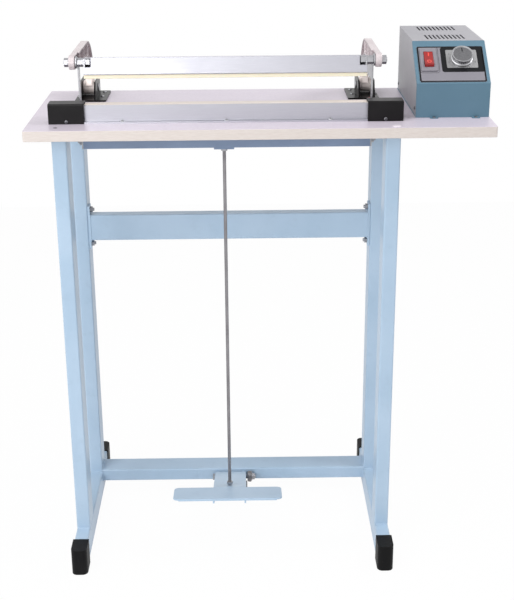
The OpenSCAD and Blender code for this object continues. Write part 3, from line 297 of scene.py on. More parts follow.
def threaded(name, along, colour, dark, low, high):
    """Plated steel with fine rings of thread, except on the plain length from low to high, in metres."""
    metal = Finish(name, metallic=1.0)
    cloud = metal.between(metal.noise(30, 4), 0.3, 0.75)
    rings = metal.wave(along, THREAD_PITCH * MM)
    plain = (metal.axis(along) > low) * (metal.axis(along) < high)
    metal.set(Base_Color=metal.mix(cloud * 0.7 + 0.3 * rings * (1 - plain), linear(*colour), linear(*dark)))
    metal.set(Roughness=0.26 + 0.12 * cloud)
    metal.set(Normal=metal.bump(rings * (1 - plain), 0.5, 0.0003))
    return metal.material


# The bolts are threaded over their whole length, so their plain length is empty: it ends before it starts.
thread_x = threaded("threaded_zinc", "X", (178, 178, 182), (128, 129, 134), -0.29, -0.3)
thread_z = threaded("threaded_rod", "Z", (158, 155, 158), (116, 113, 116), 0.13, 0.735)
print("threads every", THREAD_PITCH, "mm")


# %% Cast alloy
def cast_metal(name, middle, hub_top):
    """Die casting under clear lacquer: a pale pinkish grey with a fine pebble and a few dark pits.

    Inner faces get painted shade, deep on the left arm, faint on the right; the hub below hub_top gets
    painted light.
    middle is the stand's X. Both are in metres.
    """
    metal = Finish(name, metallic=0.15, IOR=1.5)
    facing = metal.facing("X")
    on_left = metal.axis("X") < middle
    hub = metal.axis("Z") < hub_top
    # Painted shade: faces turned towards the stand's middle darken, strongly on the left arm and weakly on
    # the right, not on the hub.
    rough = metal.between(facing * (2 * on_left - 1), 0.6, 0.9) * (0.25 + 0.7 * on_left) * (1 - hub)
    dots = metal.between(metal.cells(520), 0.0, 0.22, 1.0, 0.0)
    pits = dots * metal.between(metal.noise(60, 3), 0.5, 0.7)
    cloud = metal.between(metal.noise(28, 5), 0.35, 0.7)
    tone = metal.mix(cloud, linear(212, 202, 204), linear(196, 186, 188))
    # Painted light: the hub below hub_top is made paler, as if more brightly lit.
    tone = metal.mix(hub, tone, linear(250, 238, 233))
    # Mottled dark colour of the painted shade on the inner faces.
    shade_mottle = metal.between(metal.noise(190, 4), 0.35, 0.65)
    tone = metal.mix(rough, tone, metal.mix(shade_mottle, linear(118, 102, 108), linear(84, 70, 76)))
    metal.set(Base_Color=metal.mix(pits * 0.5, tone, linear(140, 130, 134)))
    metal.set(Roughness=0.36 + 0.14 * cloud + 0.1 * pits)
    metal.set(Normal=metal.bump(metal.noise(420, 4) - 0.5 * pits, 0.35, 0.0005))
    return metal.material


casting = cast_metal("cast_arm_alloy_with_painted_light_and_shade", STAND_X * MM, HUB_TOP * MM)
print("metals ready")

# %% [markdown]
# ## Table top, plastics, rubber and cloth
# The laminate is printed with a faint mottling. The edge band is a strip of another colour glued round the
# board. One material holds both: the surface's own normal tells the top from the sides.

# %% Laminated board
def laminated_board(name):
    board = Finish(name, IOR=1.5)
    mottle = board.between(board.noise(240, 5, rough=0.7), 0.35, 0.7)
    cloud = board.between(board.noise(5, 3), 0.35, 0.7)
    top = board.mix(mottle * 0.5 + cloud * 0.4, linear(206, 197, 208), linear(196, 187, 200))
    band = board.mix(board.between(board.noise(90, 4, stretch=(1, 1, 14)), 0.3, 0.7),
                     linear(216, 208, 203), linear(205, 195, 189))
    board.set(Base_Color=board.mix(board.facing("Z") > 0.5, band, top))
    board.set(Roughness=0.3 + 0.12 * mottle)
    board.set(Normal=board.bump(mottle, 0.06, 0.0002))
    return board.material


laminate = laminated_board("laminated_board")


# %% Moulded plastic and rubber
def moulded(name, colour, pale, gloss, grain=0.3, size=700, **fixed):
    plastic = Finish(name, **fixed)
    dust = plastic.between(plastic.noise(26, 6), 0.5, 0.8) * 0.3
    plastic.set(Base_Color=plastic.mix(dust, linear(*colour), linear(*pale)))
    plastic.set(Roughness=gloss + 0.15 * dust + 0.06 * plastic.noise(140, 3))
    plastic.set(Normal=plastic.bump(plastic.noise(size, 3), grain, 0.0003))
    return plastic.material


cover_black = moulded("end_cover_plastic", (12, 10, 12), (38, 35, 38), 0.34, Specular_IOR_Level=0.2)
cap_rubber = moulded("foot_cap_rubber", (10, 10, 11), (34, 33, 34), 0.5, size=420, Specular_IOR_Level=0.15)
bezel_black = moulded("switch_plastic", (10, 10, 11), (30, 29, 31), 0.3, Specular_IOR_Level=0.25)
bezel_grey = moulded("bezel_plastic", (128, 125, 133), (140, 137, 144), 0.34)
silicone = moulded("silicone_rubber", (243, 232, 206), (232, 216, 186), 0.42, grain=0.15,
                   Subsurface_Weight=0.1)
laminate_strip = moulded("insulating_laminate", (222, 216, 208), (210, 202, 192), 0.5)
cap_pale = moulded("screw_cap_plastic", (222, 214, 222), (208, 200, 210), 0.3, grain=0.1)
board_green = moulded("circuit_board_mask", (30, 92, 52), (44, 110, 66), 0.35)
iron_core = moulded("transformer_iron", (70, 66, 64), (98, 90, 84), 0.5)
rocker_red = moulded("rocker_red", (146, 9, 7), (162, 18, 14), 0.14, grain=0.05, Coat_Weight=0.2)
# The I and O marks are real, and their pale pink is also a painted highlight for the rocker's two bright
# spots.
pink_marks_and_highlights = moulded("rocker_marks_and_painted_highlights", (226, 78, 68), (236, 100, 88), 0.2, grain=0.05)
label_grey = moulded("label_film", (126, 124, 132), (136, 134, 141), 0.36, grain=0.08)
# Black for the label's print and the knob's pointer, and also for the painted shade of the screws' cross
# recesses.
ink_and_recess_shade = moulded("label_ink_and_recess_shade", (12, 13, 17), (24, 25, 30), 0.3, grain=0.05, Specular_IOR_Level=0.2)
print_dark = moulded("dial_ink", (52, 54, 58), (70, 72, 76), 0.35, grain=0.05)


# %% Coated glass cloth
def woven_cloth(name):
    """Two sets of threads as sine waves across each other, under a coating that heat has tanned."""
    cloth = Finish(name, IOR=1.4)
    thread = 0.9 * MM
    weave = cloth.between(cloth.wave("X", thread) * cloth.wave("Y", thread), -1.0, 1.0)
    scorch = cloth.between(cloth.noise(7, 5), 0.45, 0.75) * 0.5
    tone = cloth.mix(weave, linear(214, 204, 198), linear(226, 219, 214))
    cloth.set(Base_Color=cloth.mix(scorch, tone, linear(206, 190, 176)))
    cloth.set(Roughness=0.35 + 0.15 * weave, Normal=cloth.bump(weave, 0.4, 0.0002))
    return cloth.material


ptfe_cloth = woven_cloth("coated_glass_cloth")
print("materials:", len(bpy.data.materials))

# %% [markdown]
# ## Stage and light
# The floor and the backdrop are pale and plain. Camera, glossy and transmission rays see a white world, and
# every other ray sees a mid grey, so the background is white without flooding the object with light.

# %% World
WORLD_FILL = 0.5         # strength that lights the object; the background's own is 1


def added_math(tree, operation, first, second):
    """Socket of a new Math node that is fed by a socket and by a socket or a number."""
    sums = tree.nodes.new("ShaderNodeMath")
    sums.operation = operation
    tree.links.new(first, sums.inputs[0])
    if isinstance(second, float):
        sums.inputs[1].default_value = second
    else:
        tree.links.new(second, sums.inputs[1])
    return sums.outputs[0]


world = bpy.data.worlds.new("studio")
scene.world = world
world.use_nodes = True
sky = world.node_tree
path = sky.nodes.new("ShaderNodeLightPath")
back = sky.nodes["Background"]
back.inputs["Color"].default_value = (1, 1, 1, 1)
seen = added_math(sky, "MAXIMUM", path.outputs["Is Camera Ray"], path.outputs["Is Transmission Ray"])
shown = added_math(sky, "MAXIMUM", seen, path.outputs["Is Glossy Ray"])
strength = sky.nodes.new("ShaderNodeMapRange")
strength.inputs["To Min"].default_value = WORLD_FILL
strength.inputs["To Max"].default_value = 1.0
sky.links.new(shown, strength.inputs["Value"])
sky.links.new(strength.outputs["Result"], back.inputs["Strength"])
print("world lights the object at", WORLD_FILL)

# %% Lamps
def softbox(name, place, aim, size, power):
    lamp = bpy.data.lights.new(name, "AREA")
    lamp.shape = "RECTANGLE"
    lamp.size, lamp.size_y = size
    lamp.energy = power
    holder = bpy.data.objects.new(name, lamp)
    scene.collection.objects.link(holder)
    holder.location = place
    holder.rotation_euler = (Vector(aim) - Vector(place)).to_track_quat("-Z", "Y").to_euler()
    print(name, power, "W")


softbox("key_softbox", (-1.9, -2.3, 2.1), (0, 0, 0.6), (1.6, 1.6), 36)
softbox("front_card", (-0.8, -2.35, 1.16), (-0.1, 0, 0.85), (1.1, 0.5), 14)
softbox("side_softbox", (1.6, -0.1, 2.1), (0.2, 0, 0.8), (0.6, 0.6), 18)
softbox("top_softbox", (-0.8, -0.6, 2.8), (-0.1, 0, 0.8), (1.8, 1.4), 18)

# %% Floor
FLOOR_HALF = 2.2
WHITE_SHARE = 0.97       # the rest of the floor's look is its own shading, which holds the shadow
floor_bm = bmesh.new()
bmesh.ops.create_grid(floor_bm, x_segments=1, y_segments=1, size=FLOOR_HALF)
floor_mesh = bpy.data.meshes.new("floor")
floor_bm.to_mesh(floor_mesh)
floor_bm.free()
floor = bpy.data.objects.new("floor", floor_mesh)
scene.collection.objects.link(floor)
pale = bpy.data.materials.new("pale_floor")
pale.use_nodes = True
ground = pale.node_tree
bsdf = ground.nodes["Principled BSDF"]
bsdf.inputs["Base Color"].default_value = (0.86, 0.86, 0.87, 1)
bsdf.inputs["Roughness"].default_value = 0.7
glow = ground.nodes.new("ShaderNodeEmission")
blend = ground.nodes.new("ShaderNodeMixShader")
sight = ground.nodes.new("ShaderNodeLightPath")
either = added_math(ground, "MAXIMUM", sight.outputs["Is Camera Ray"], sight.outputs["Is Glossy Ray"])
ground.links.new(added_math(ground, "MULTIPLY", either, WHITE_SHARE), blend.inputs[0])
ground.links.new(bsdf.outputs[0], blend.inputs[1])
ground.links.new(glow.outputs[0], blend.inputs[2])
ground.links.new(blend.outputs[0], ground.nodes["Material Output"].inputs["Surface"])
floor_mesh.materials.append(pale)
print("floor", 2 * FLOOR_HALF, "m wide")

# %% [markdown]
# ## Rounding the CAD solids
# A CAD edge is perfectly sharp, and nothing real is. For most pieces the shape is already right, so a copy
# of the solid's triangles is merged, flat faces are joined again, and only the sharp edges are bevelled.
# The copy then stands for the solid. The bevel's width is what tells sheet metal from a moulding.

# %% Turn a bmesh into a finished piece
SMOOTH_ANGLE = math.radians(38)
FLAT_FACE_PULL = 95      # how strongly large faces set the shading of a bevel beside them
body_of_node = {n: b for b, nodes in frame["record"]["behaviour"]["bodies"].items() for n in nodes}


def finished(name, bm, material, body, replaced=()):
    """Piece made of a bmesh in metres; it rides on a body and may stand for CAD nodes."""
    mesh = bpy.data.meshes.new(name)
    bm.to_mesh(mesh)
    bm.free()
    mesh.polygons.foreach_set("use_smooth", [True] * len(mesh.polygons))
    mesh.set_sharp_from_angle(angle=SMOOTH_ANGLE)
    mesh.materials.clear()
    mesh.materials.append(material)
    piece = bpy.data.objects.new(name, mesh)
    scene.collection.objects.link(piece)
    weigh = piece.modifiers.new("even_shading", "WEIGHTED_NORMAL")
    weigh.keep_sharp = True
    weigh.weight = FLAT_FACE_PULL
    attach(piece, body)
    if replaced:
        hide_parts(*replaced)
    print(f"{name}: {len(mesh.polygons)} faces on {body}")
    return piece


# %% Round the sharp edges of a solid's copy
FLAT = math.radians(0.4)
SHARP = math.radians(32)
SAME_POINT = 2e-6


def merged_copy(node):
    """Copy of a solid's mesh with its points merged and its flat faces joined."""
    bm = bmesh.new()
    bm.from_mesh(frame["nodes"][node].data)
    bmesh.ops.remove_doubles(bm, verts=bm.verts, dist=SAME_POINT)
    bmesh.ops.dissolve_limit(bm, angle_limit=FLAT, verts=bm.verts, edges=bm.edges)
    return bm


def rounded(node, material, radius):
    """Piece that stands for a node, with its sharp edges bevelled by a radius in mm."""
    bm = merged_copy(node)
    sharp = [e for e in bm.edges if len(e.link_faces) == 2 and e.calc_face_angle(0) > SHARP]
    bmesh.ops.bevel(bm, geom=sharp, offset=radius * MM, offset_type="OFFSET", affect="EDGES",
                    segments=2, profile=0.5, material=-1, clamp_overlap=True)
    bmesh.ops.recalc_face_normals(bm, faces=bm.faces)
    return finished(f"{node}_dressed", bm, material, body_of_node[node],
                    (node,))


# %% [markdown]
# ## Castings
# A casting has no sharp edge anywhere, inside corners included, and a bevel can't round where many edges
# meet. So its copy is remeshed into small even faces, and these are smoothed until the edges are as round
# as a die leaves them. That also narrows the hinge's bore, so its wall is pushed back out, clear of the pin.

# %% Soften a casting's copy
CASTING_GRAIN = 1.2      # size of the even faces
CASTING_ROUNDS = 5       # how often they are smoothed
BORE_R = 5.15            # the pin's radius is 5


def evaluated_bmesh(holder):
    """Bmesh of an object as its modifiers or its text make it."""
    bpy.context.view_layer.update()
    mesh = bpy.data.meshes.new_from_object(holder.evaluated_get(bpy.context.evaluated_depsgraph_get()))
    bm = bmesh.new()
    bm.from_mesh(mesh)
    bpy.data.meshes.remove(mesh)
    return bm


def open_bore(bm):
    """Push every point that is nearer to the hinge's axis than the bore's wall out to it."""
    axis = Vector((HINGE_Y, HINGE_Z)) * MM
    for vert in bm.verts:
        spoke = vert.co.yz - axis
        if spoke.length < BORE_R * MM:
            vert.co.yz = axis + spoke.normalized() * BORE_R * MM


def softened(node, material):
    """Piece that stands for a cast node, with every edge rounded over about two faces."""
    bm = merged_copy(node)
    bmesh.ops.triangulate(bm, faces=bm.faces)
    raw = bpy.data.meshes.new("raw_casting")
    bm.to_mesh(raw)
    bm.free()
    holder = bpy.data.objects.new("raw_casting", raw)
    scene.collection.objects.link(holder)
    even = holder.modifiers.new("even_faces", "REMESH")
    even.mode = "VOXEL"
    even.voxel_size = CASTING_GRAIN * MM
    smooth = holder.modifiers.new("rounded_edges", "SMOOTH")
    smooth.factor = 0.5
    smooth.iterations = CASTING_ROUNDS
    bm = evaluated_bmesh(holder)
    bpy.data.objects.remove(holder)
    bpy.data.meshes.remove(raw)
    open_bore(bm)
    return finished(f"{node}_dressed", bm, material, body_of_node[node],
                    (node,))


for arm in ("left_arm", "right_arm"):
    softened(arm, casting)

# %% [markdown]
# ## The rounded solids
# Each row is a finish, a bevel in millimetres and the nodes that get both. Tubes, bolts and plates get
# small bevels, and the rubber feet and the end covers get soft ones.

# %% Dress the solids
DRESS = [
    (blue_paint, 0.4, "left_front_upright left_rear_upright right_front_upright right_rear_upright "
     "left_base_tube right_base_tube upper_stretcher lower_stretcher table_carriers "
     "stretcher_end_plates pedal_lugs"),
    (blue_paint, 0.7, "pedal_neck foot_plate"),
    # The crossbar's darker blue is painted shade from the table above it.
    (painted_shade_coat, 0.7, "crossbar"),
    (cap_rubber, 1.6, "foot_caps"),
    (laminate, 0.9, "table_top"),
    (extrusion, 0.35, "lower_rail jaw_bar"),
    (cover_black, 1.1, "left_end_cover right_end_cover"),
    (bracket_black, 0.6, "hinge_brackets"),
    (silicone, 0.9, "silicone_strip"),
    (zinc, 0.4, "table_screws hinge_pins bar_end_plates jaw_spacers left_link right_link rod_nuts "
     "timer_shaft timer_body"),
    (zinc, 0.9, "jaw_nuts"),
    (thread_x, 0.4, "stretcher_bolts jaw_bolts crossbar_bolts pedal_pin"),
    (thread_z, 0.4, "pull_rod"),
    (spring_steel, 0.1, "pedal_spring_leg"),
    (teal_paint, 0.5, "box_base"),
    (grey_paint, 0.5, "box_cover"),
    (label_grey, 0.15, "panel_label"),
    (bezel_black, 0.5, "trip_switch cord_gland"),
    (rocker_red, 0.7, "rocker trip_plunger"),
    (dial_metal, 0.15, "dial_plate"),
    (knob_metal, 0.35, "timer_knob"),
    (ribbon_metal, 0.05, "heating_ribbon"),
    (laminate_strip, 0.1, "insulating_strip"),
    (ptfe_cloth, 0.05, "nonstick_cloth"),
    (brass, 0.1, "ribbon_clamps"),
    (iron_core, 0.5, "transformer"),
    (board_green, 0.2, "circuit_board"),
]
for material, radius, nodes in DRESS:
    for node in nodes.split():
        rounded(node, material, radius)

# %% [markdown]
# ## Shapes that are swept or turned
# A round wire or a weld bead is a circle carried along a path, and a screw head is a short profile spun
# once round its axis. Both are made in millimetres on a bmesh and scaled once, when the piece is placed.

# %% Sweep and spin
def sweep(bm, path, radius, sides=10, closed=False):
    """A round bar along a path. Each ring is square to the path, and radius may be a number or a list."""
    rings = []
    count = len(path)
    side = Vector((0, 0, 1))
    for k, point in enumerate(path):
        ahead = path[(k + 1) % count] if closed or k + 1 < count else point
        behind = path[k - 1] if closed or k > 0 else point
        along = (ahead - behind).normalized()
        side = (side - along * side.dot(along))
        side = side.normalized() if side.length > 1e-6 else along.orthogonal().normalized()
        other = along.cross(side)
        size = radius[k] if isinstance(radius, list) else radius
        turns = [2 * math.pi * j / sides for j in range(sides)]
        rings.append([bm.verts.new(point + size * (math.cos(t) * side + math.sin(t) * other))
                      for t in turns])
    for k in range(count if closed else count - 1):
        first, second = rings[k], rings[(k + 1) % count]
        for j in range(sides):
            bm.faces.new((first[j], first[(j + 1) % sides], second[(j + 1) % sides], second[j]))
    if not closed:
        bm.faces.new(rings[0])
        bm.faces.new(rings[-1])


def spun(bm, profile, steps=24):
    """Turn a profile of (radius, height) points once round the Z axis."""
    corners = [bm.verts.new((r, 0, z)) for r, z in profile]
    lines = [bm.edges.new(pair) for pair in zip(corners, corners[1:])]
    bmesh.ops.spin(bm, geom=corners + lines, cent=(0, 0, 0), axis=(0, 0, 1), steps=steps,
                   angle=2 * math.pi, use_merge=True)
    bmesh.ops.remove_doubles(bm, verts=bm.verts, dist=0.001)


def slab(points, low, high):
    """Flat shape with an outline of (x, y) points, from one height to another."""
    bm = bmesh.new()
    face = bm.faces.new([bm.verts.new((x, y, low)) for x, y in points])
    grown = bmesh.ops.extrude_face_region(bm, geom=[face])
    top = [v for v in grown["geom"] if isinstance(v, bmesh.types.BMVert)]
    bmesh.ops.translate(bm, vec=(0, 0, high - low), verts=top)
    return bm


def joined(parts):
    """One bmesh in metres out of (bmesh in mm, matrix) pairs, with its normals facing outwards."""
    whole = bmesh.new()
    for part, matrix in parts:
        part.transform(matrix)
        scrap = bpy.data.meshes.new("scrap")
        part.to_mesh(scrap)
        part.free()
        whole.from_mesh(scrap)
        bpy.data.meshes.remove(scrap)
    bmesh.ops.recalc_face_normals(whole, faces=whole.faces)
    whole.transform(Matrix.Scale(MM, 4))
    return whole


def moved(x, y, z):
    return Matrix.Translation((x, y, z))


def turned_to(direction):
    """Rotation that carries +Z to a direction."""
    return Vector((0, 0, 1)).rotation_difference(Vector(direction)).to_matrix().to_4x4()


# %% [markdown]
# ## Screws
# Each head is a low dome with a cross recess. The recess is not cut: its shade is painted as a dark cross
# that lies in the dome's flat middle, which is all that can be seen of it at this size.

# %% Screw heads
RECESS_T = 0.06          # thickness of the dark cross
FIRST_TURN = 12          # degrees
NEXT_TURN = 37


def head(radius, height):
    """Low dome on the origin, as (radius, height) points from its seat to its middle."""
    bm = bmesh.new()
    spun(bm, [(0, 0), (radius, 0), (radius, height * 0.3), (radius * 0.86, height * 0.7),
              (radius * 0.55, height * 0.95), (0, height)])
    return bm


def cross(radius, height):
    """Painted shade of a head's cross recess: a thin dark cross for a head with that radius, at a height."""
    arm = radius * 0.62
    half = radius * 0.11
    outline = [(arm, half), (half, half), (half, arm), (-half, arm), (-half, half), (-arm, half),
               (-arm, -half), (-half, -half), (-half, -arm), (half, -arm), (half, -half), (arm, -half)]
    return slab(outline, height, height + RECESS_T)


def screw_set(name, node, material, radius, height, places, stands_for=True):
    """Heads and their crosses of painted recess shade at (point, direction) places, turned differently as
    driven screws are.

    They stand for the node of screws, unless another set already does.
    """
    heads, marks = [], []
    for k, (point, direction) in enumerate(places):
        turn_by = Matrix.Rotation(math.radians(NEXT_TURN * k + FIRST_TURN), 4, "Z")
        place = moved(*point) @ turned_to(direction) @ turn_by
        heads.append((head(radius, height), place))
        marks.append((cross(radius, height * 0.96), place))
    finished(name, joined(heads), material, "stand",
             (node,) if stands_for else ())
    # Painted shade: dark crosses stand for the shade inside the heads' cross recesses.
    finished(f"{name}_recess_shade", joined(marks), ink_and_recess_shade, "stand")


# %% Drive the screws
SMALL_HEAD = (3.0, 1.6)  # radius and height
WIDE_HEAD = (3.2, 2.0)
SIDES = (-1, 1)
UP = (0, 0, 1)
FORWARD = (0, -1, 0)
COVER_SCREW_X = 267.0    # from the stand's middle
COVER_FRONT = -121.6
COVER_SCREW_H = 4        # above the table
RAIL_SCREW_X = 174.5
RAIL_SCREW_Y = -116.5
LUG_X = 3.7              # the lugs' middle, from the box's middle
LUG_T = 1.2
LUG_SCREW_X = 35.5
LUG_SCREW_OUT = 5        # in front of the box
SIDE_SCREW_X = 61.05
SIDE_SCREW_Y = (24, 248)     # from the box's front
SIDE_SCREW_H = 12
BRACKET_SCREW_X = (-24.5, 18.5)      # from an arm's middle, outwards
BRACKET_SCREW_Y = (-20, 20)          # from the hinge's axis
BRACKET_FOOT_T = 3.0
RAIL_FOOT_T = 3.0
cover_places = [((STAND_X + side * COVER_SCREW_X, COVER_FRONT, TABLE_Z + COVER_SCREW_H), FORWARD)
                for side in SIDES]
lug_places = [((BOX_X + LUG_X + side * LUG_SCREW_X, BOX_FRONT - LUG_SCREW_OUT, TABLE_Z + LUG_T), UP)
              for side in SIDES]
side_places = [((BOX_X + side * SIDE_SCREW_X, BOX_FRONT + y, TABLE_Z + SIDE_SCREW_H), (side, 0, 0))
               for side in SIDES for y in SIDE_SCREW_Y]
rail_places = [((STAND_X + k * RAIL_SCREW_X, RAIL_SCREW_Y, TABLE_Z + RAIL_FOOT_T), UP) for k in (-1, 0, 1)]
bracket_places = [((STAND_X + side * (ARM_X + x), HINGE_Y + y, TABLE_Z + BRACKET_FOOT_T), UP)
                  for side in SIDES for x in BRACKET_SCREW_X for y in BRACKET_SCREW_Y]
screw_set("small_screw_heads", "small_screws", screw_steel, *SMALL_HEAD, cover_places)
screw_set("box_screw_heads", "small_screws", screw_steel, *SMALL_HEAD,
          lug_places + side_places, False)
screw_set("rail_screw_heads", "rail_screws", zinc, *WIDE_HEAD, rail_places)
screw_set("bracket_screw_heads", "bracket_screws", zinc, *WIDE_HEAD, bracket_places)

# %% [markdown]
# ## Welds
# A weld is a bead of slightly uneven thickness that is laid along the seam and then painted over with the
# frame. The uprights are welded to the base tubes, the lower stretcher to the same tubes, and the end
# plates to the upper stretcher.

# %% Weld beads
def bead(path, size, closed=False):
    """Bead along a path of points, with small ripples."""
    bm = bmesh.new()
    ripples = [size * (1 + 0.16 * math.sin(2.3 * k) + 0.08 * math.sin(5.1 * k))
               for k in range(len(path))]
    sweep(bm, path, ripples, 8, closed)
    return bm


def straight(start, end, steps):
    return [Vector(start).lerp(Vector(end), k / steps) for k in range(steps + 1)]


def seam_round(x, front, rear, low, high, steps=18):
    """Closed path round the end of a tube that stands square to X."""
    corners = [(x, front, low), (x, rear, low), (x, rear, high), (x, front, high)]
    path = []
    for first, second in zip(corners, corners[1:] + corners[:1]):
        path += straight(first, second, steps)[:-1]
    return path


# %% Weld the frame
LEG_X = 280.0            # middle of a leg, from the stand's middle
LEG_SEAM = 22.0          # length of a bead across a leg
LEG_STEPS = 16
UPRIGHT_Y = 109.5        # middle of an upright, to the front and to the back
UPRIGHT_HALF = 25.0
BASE_TOP = 48.0
UPRIGHT_BEAD_R = 1.7
LOWER_BEAD_R = 1.6
UPPER_BEAD_R = 1.3
LOWER_END_X = 267.5
LOWER_SEAM = (85.5, 133.5, 28, 51)       # front, rear, low and high
UPPER_END_X = 263.2
UPPER_SEAM = (84.5, 109.5, 545, 595)
beads = []
for side in SIDES:
    leg = STAND_X + side * LEG_X
    for upright in (-UPRIGHT_Y, UPRIGHT_Y):
        for edge in (-UPRIGHT_HALF, UPRIGHT_HALF):
            ends = [(leg + way * LEG_SEAM / 2, upright + edge, BASE_TOP) for way in SIDES]
            beads.append(bead(straight(*ends, LEG_STEPS), UPRIGHT_BEAD_R))
    beads.append(bead(seam_round(STAND_X + side * LOWER_END_X, *LOWER_SEAM), LOWER_BEAD_R, True))
    beads.append(bead(seam_round(STAND_X + side * UPPER_END_X, *UPPER_SEAM), UPPER_BEAD_R, True))
finished("weld_beads", joined([(bm, IDENTITY) for bm in beads]), blue_paint, "stand")

# %% [markdown]
# ## Gusset of the right link
# The tail that works the start switch is braced by a thin gusset that fills the corner between the link
# and the tail. Its top stays more than 1 mm under the arm, which is lowest over it while the jaw is open.

# %% Cut the gusset
LINK_IN = 247.0          # faces of the link's plate, from the stand's middle
LINK_OUT = 249.5
SKIN = 0.05              # the gusset is this much thinner than the plate on each side
OVERLAP = 0.5            # how far it runs into the link and the tail
LINK_BACK = -61.5
TAIL_TOP = 887.4
GUSSET_BACK = -2.0
GUSSET_TOP = 898.3
GUSSET_TOP_L = 30.0
corner_y = LINK_BACK - OVERLAP
corner_z = TAIL_TOP - OVERLAP
outline = [(corner_y, corner_z), (GUSSET_BACK, corner_z), (GUSSET_BACK, TAIL_TOP + 1),
           (LINK_BACK + GUSSET_TOP_L, GUSSET_TOP), (corner_y, GUSSET_TOP)]
gusset = slab(outline, STAND_X + LINK_IN + SKIN, STAND_X + LINK_OUT - SKIN)
upright_plate = Matrix(((0, 0, 1, 0), (1, 0, 0, 0), (0, 1, 0, 0), (0, 0, 0, 1)))
finished("right_link_gusset", joined([(gusset, upright_plate)]), zinc, "pull_frame")

# %% [markdown]
# ## Thread on the pull rod
# Both ends of the rod are threaded for its nuts. The thread is a fine ridge that winds round the bar.

# %% Wind the thread
THREAD_STEPS = 16        # points in one turn
THREAD_R = 0.3
THREAD_SUNK = 0.12       # how deep the ridge's middle lies in the rod
ROD_CHAMFER = 0.8
LOW_THREAD_END = 128.0
HIGH_THREAD_START = 738.0
rod_low, rod_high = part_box("pull_rod")
rod_axis = (rod_low + rod_high) / 2 / MM
rod_r = (rod_high.x - rod_low.x) / 2 / MM


def ridge(start, end):
    """Ridge that winds up the rod from one height to another."""
    bm = bmesh.new()
    reach = rod_r - THREAD_SUNK
    path = []
    for k in range(int((end - start) / THREAD_PITCH * THREAD_STEPS) + 1):
        angle = 2 * math.pi * k / THREAD_STEPS
        path.append(Vector((rod_axis.x + reach * math.cos(angle), rod_axis.y + reach * math.sin(angle),
                            start + k * THREAD_PITCH / THREAD_STEPS)))
    sweep(bm, path, THREAD_R, 4)
    return bm


thread_ends = [ridge(rod_low.z / MM + ROD_CHAMFER, LOW_THREAD_END),
               ridge(HIGH_THREAD_START, rod_high.z / MM - ROD_CHAMFER)]
finished("rod_thread", joined([(bm, IDENTITY) for bm in thread_ends]), thread_z, "pull_frame")

# %% [markdown]
# ## The pedal's return spring
# The solid shows the coil as rings. The drawn spring is one wire: a helix of almost four turns on the pin,
# and a short straight end that leans on the lower stretcher.

# %% Wind the spring
WIRE_R = 1.22
COIL_R = 10.0
COIL_Y = 73.25           # axis of the pedal's pin
COIL_Z = 39.5
TURNS = 3.75
TURN_STEPS = 28
END_LOW = 29.0
END_HIGH = 38.5
spring_low, spring_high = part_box("pedal_spring")
coil_start = spring_low[0] / MM + WIRE_R
coil_end = spring_high[0] / MM - WIRE_R
helix = []
for k in range(int(TURNS * TURN_STEPS) + 1):
    turns = k / TURN_STEPS
    angle = 2 * math.pi * turns - math.pi / 2
    helix.append(Vector((coil_start + (coil_end - coil_start) * turns / TURNS,
                         COIL_Y + COIL_R * math.cos(angle), COIL_Z + COIL_R * math.sin(angle))))
coil = bmesh.new()
sweep(coil, helix, WIRE_R, 10)
wire_end = bmesh.new()
sweep(wire_end, straight((coil_end, COIL_Y + COIL_R, END_LOW), (coil_end, COIL_Y + COIL_R, END_HIGH), 4),
      WIRE_R, 10)
finished("pedal_spring_wound", joined([(coil, IDENTITY), (wire_end, IDENTITY)]), spring_steel, "stand",
         ("pedal_spring",))

# %% [markdown]
# ## Control panel
# Everything on the sloping panel is drawn flat, X across and Y up the slope, and is then tipped onto it
# with one matrix. The printed parts of the label are thin layers of ink: a border, a black field round the
# dial and a line round the switch. The dial has plain marks and numbers.

# %% Flat shapes on the panel
PANEL_Z = 872.5          # lower edge of the panel
PANEL_TILT = 37.4
PANEL = moved(BOX_X, BOX_FRONT, PANEL_Z) @ Matrix.Rotation(math.radians(PANEL_TILT), 4, "X")
LABEL_TOP = 0.8          # heights above the panel
PLATE_TOP = 1.4
INK = 0.06
SAME_CORNER = 0.0001
ROCKER = (-38.0, 52.9)
DIAL = (18.3, 54.4)


def loop(centre, width, length, radius, steps=6):
    """Points of a rectangle with round corners."""
    points = []
    for quarter, (sx, sy) in enumerate(((1, 1), (-1, 1), (-1, -1), (1, -1))):
        middle = (centre[0] + sx * (width / 2 - radius), centre[1] + sy * (length / 2 - radius))
        for k in range(steps + 1):
            angle = math.pi / 2 * (quarter + k / steps)
            points.append((middle[0] + radius * math.cos(angle), middle[1] + radius * math.sin(angle)))
    return points


def band(outer, inner, low, high):
    """Flat ring between two loops that have as many points."""
    bm = bmesh.new()
    rows = [[bm.verts.new((x, y, z)) for x, y in points]
            for points, z in ((outer, low), (outer, high), (inner, high), (inner, low))]
    count = len(outer)
    for row, after in zip(rows, rows[1:] + rows[:1]):
        for k in range(count):
            bm.faces.new((row[k], row[(k + 1) % count], after[(k + 1) % count], after[k]))
    return bm


def figure(text, size):
    """Plain digits as closed flat shapes, centred on the origin."""
    curve = bpy.data.curves.new("figure", "FONT")
    curve.body = text
    curve.size = size
    curve.align_x = "CENTER"
    curve.align_y = "CENTER"
    curve.extrude = INK / 2
    holder = bpy.data.objects.new("figure", curve)
    scene.collection.objects.link(holder)
    bm = evaluated_bmesh(holder)
    bmesh.ops.remove_doubles(bm, verts=bm.verts, dist=SAME_CORNER)
    bpy.data.objects.remove(holder)
    bpy.data.curves.remove(curve)
    return bm


def on_dial(degrees, across, along):
    """Point round the dial's middle, clockwise from the top."""
    angle = math.radians(degrees)
    return (DIAL[0] + across * math.sin(angle), DIAL[1] + along * math.cos(angle))


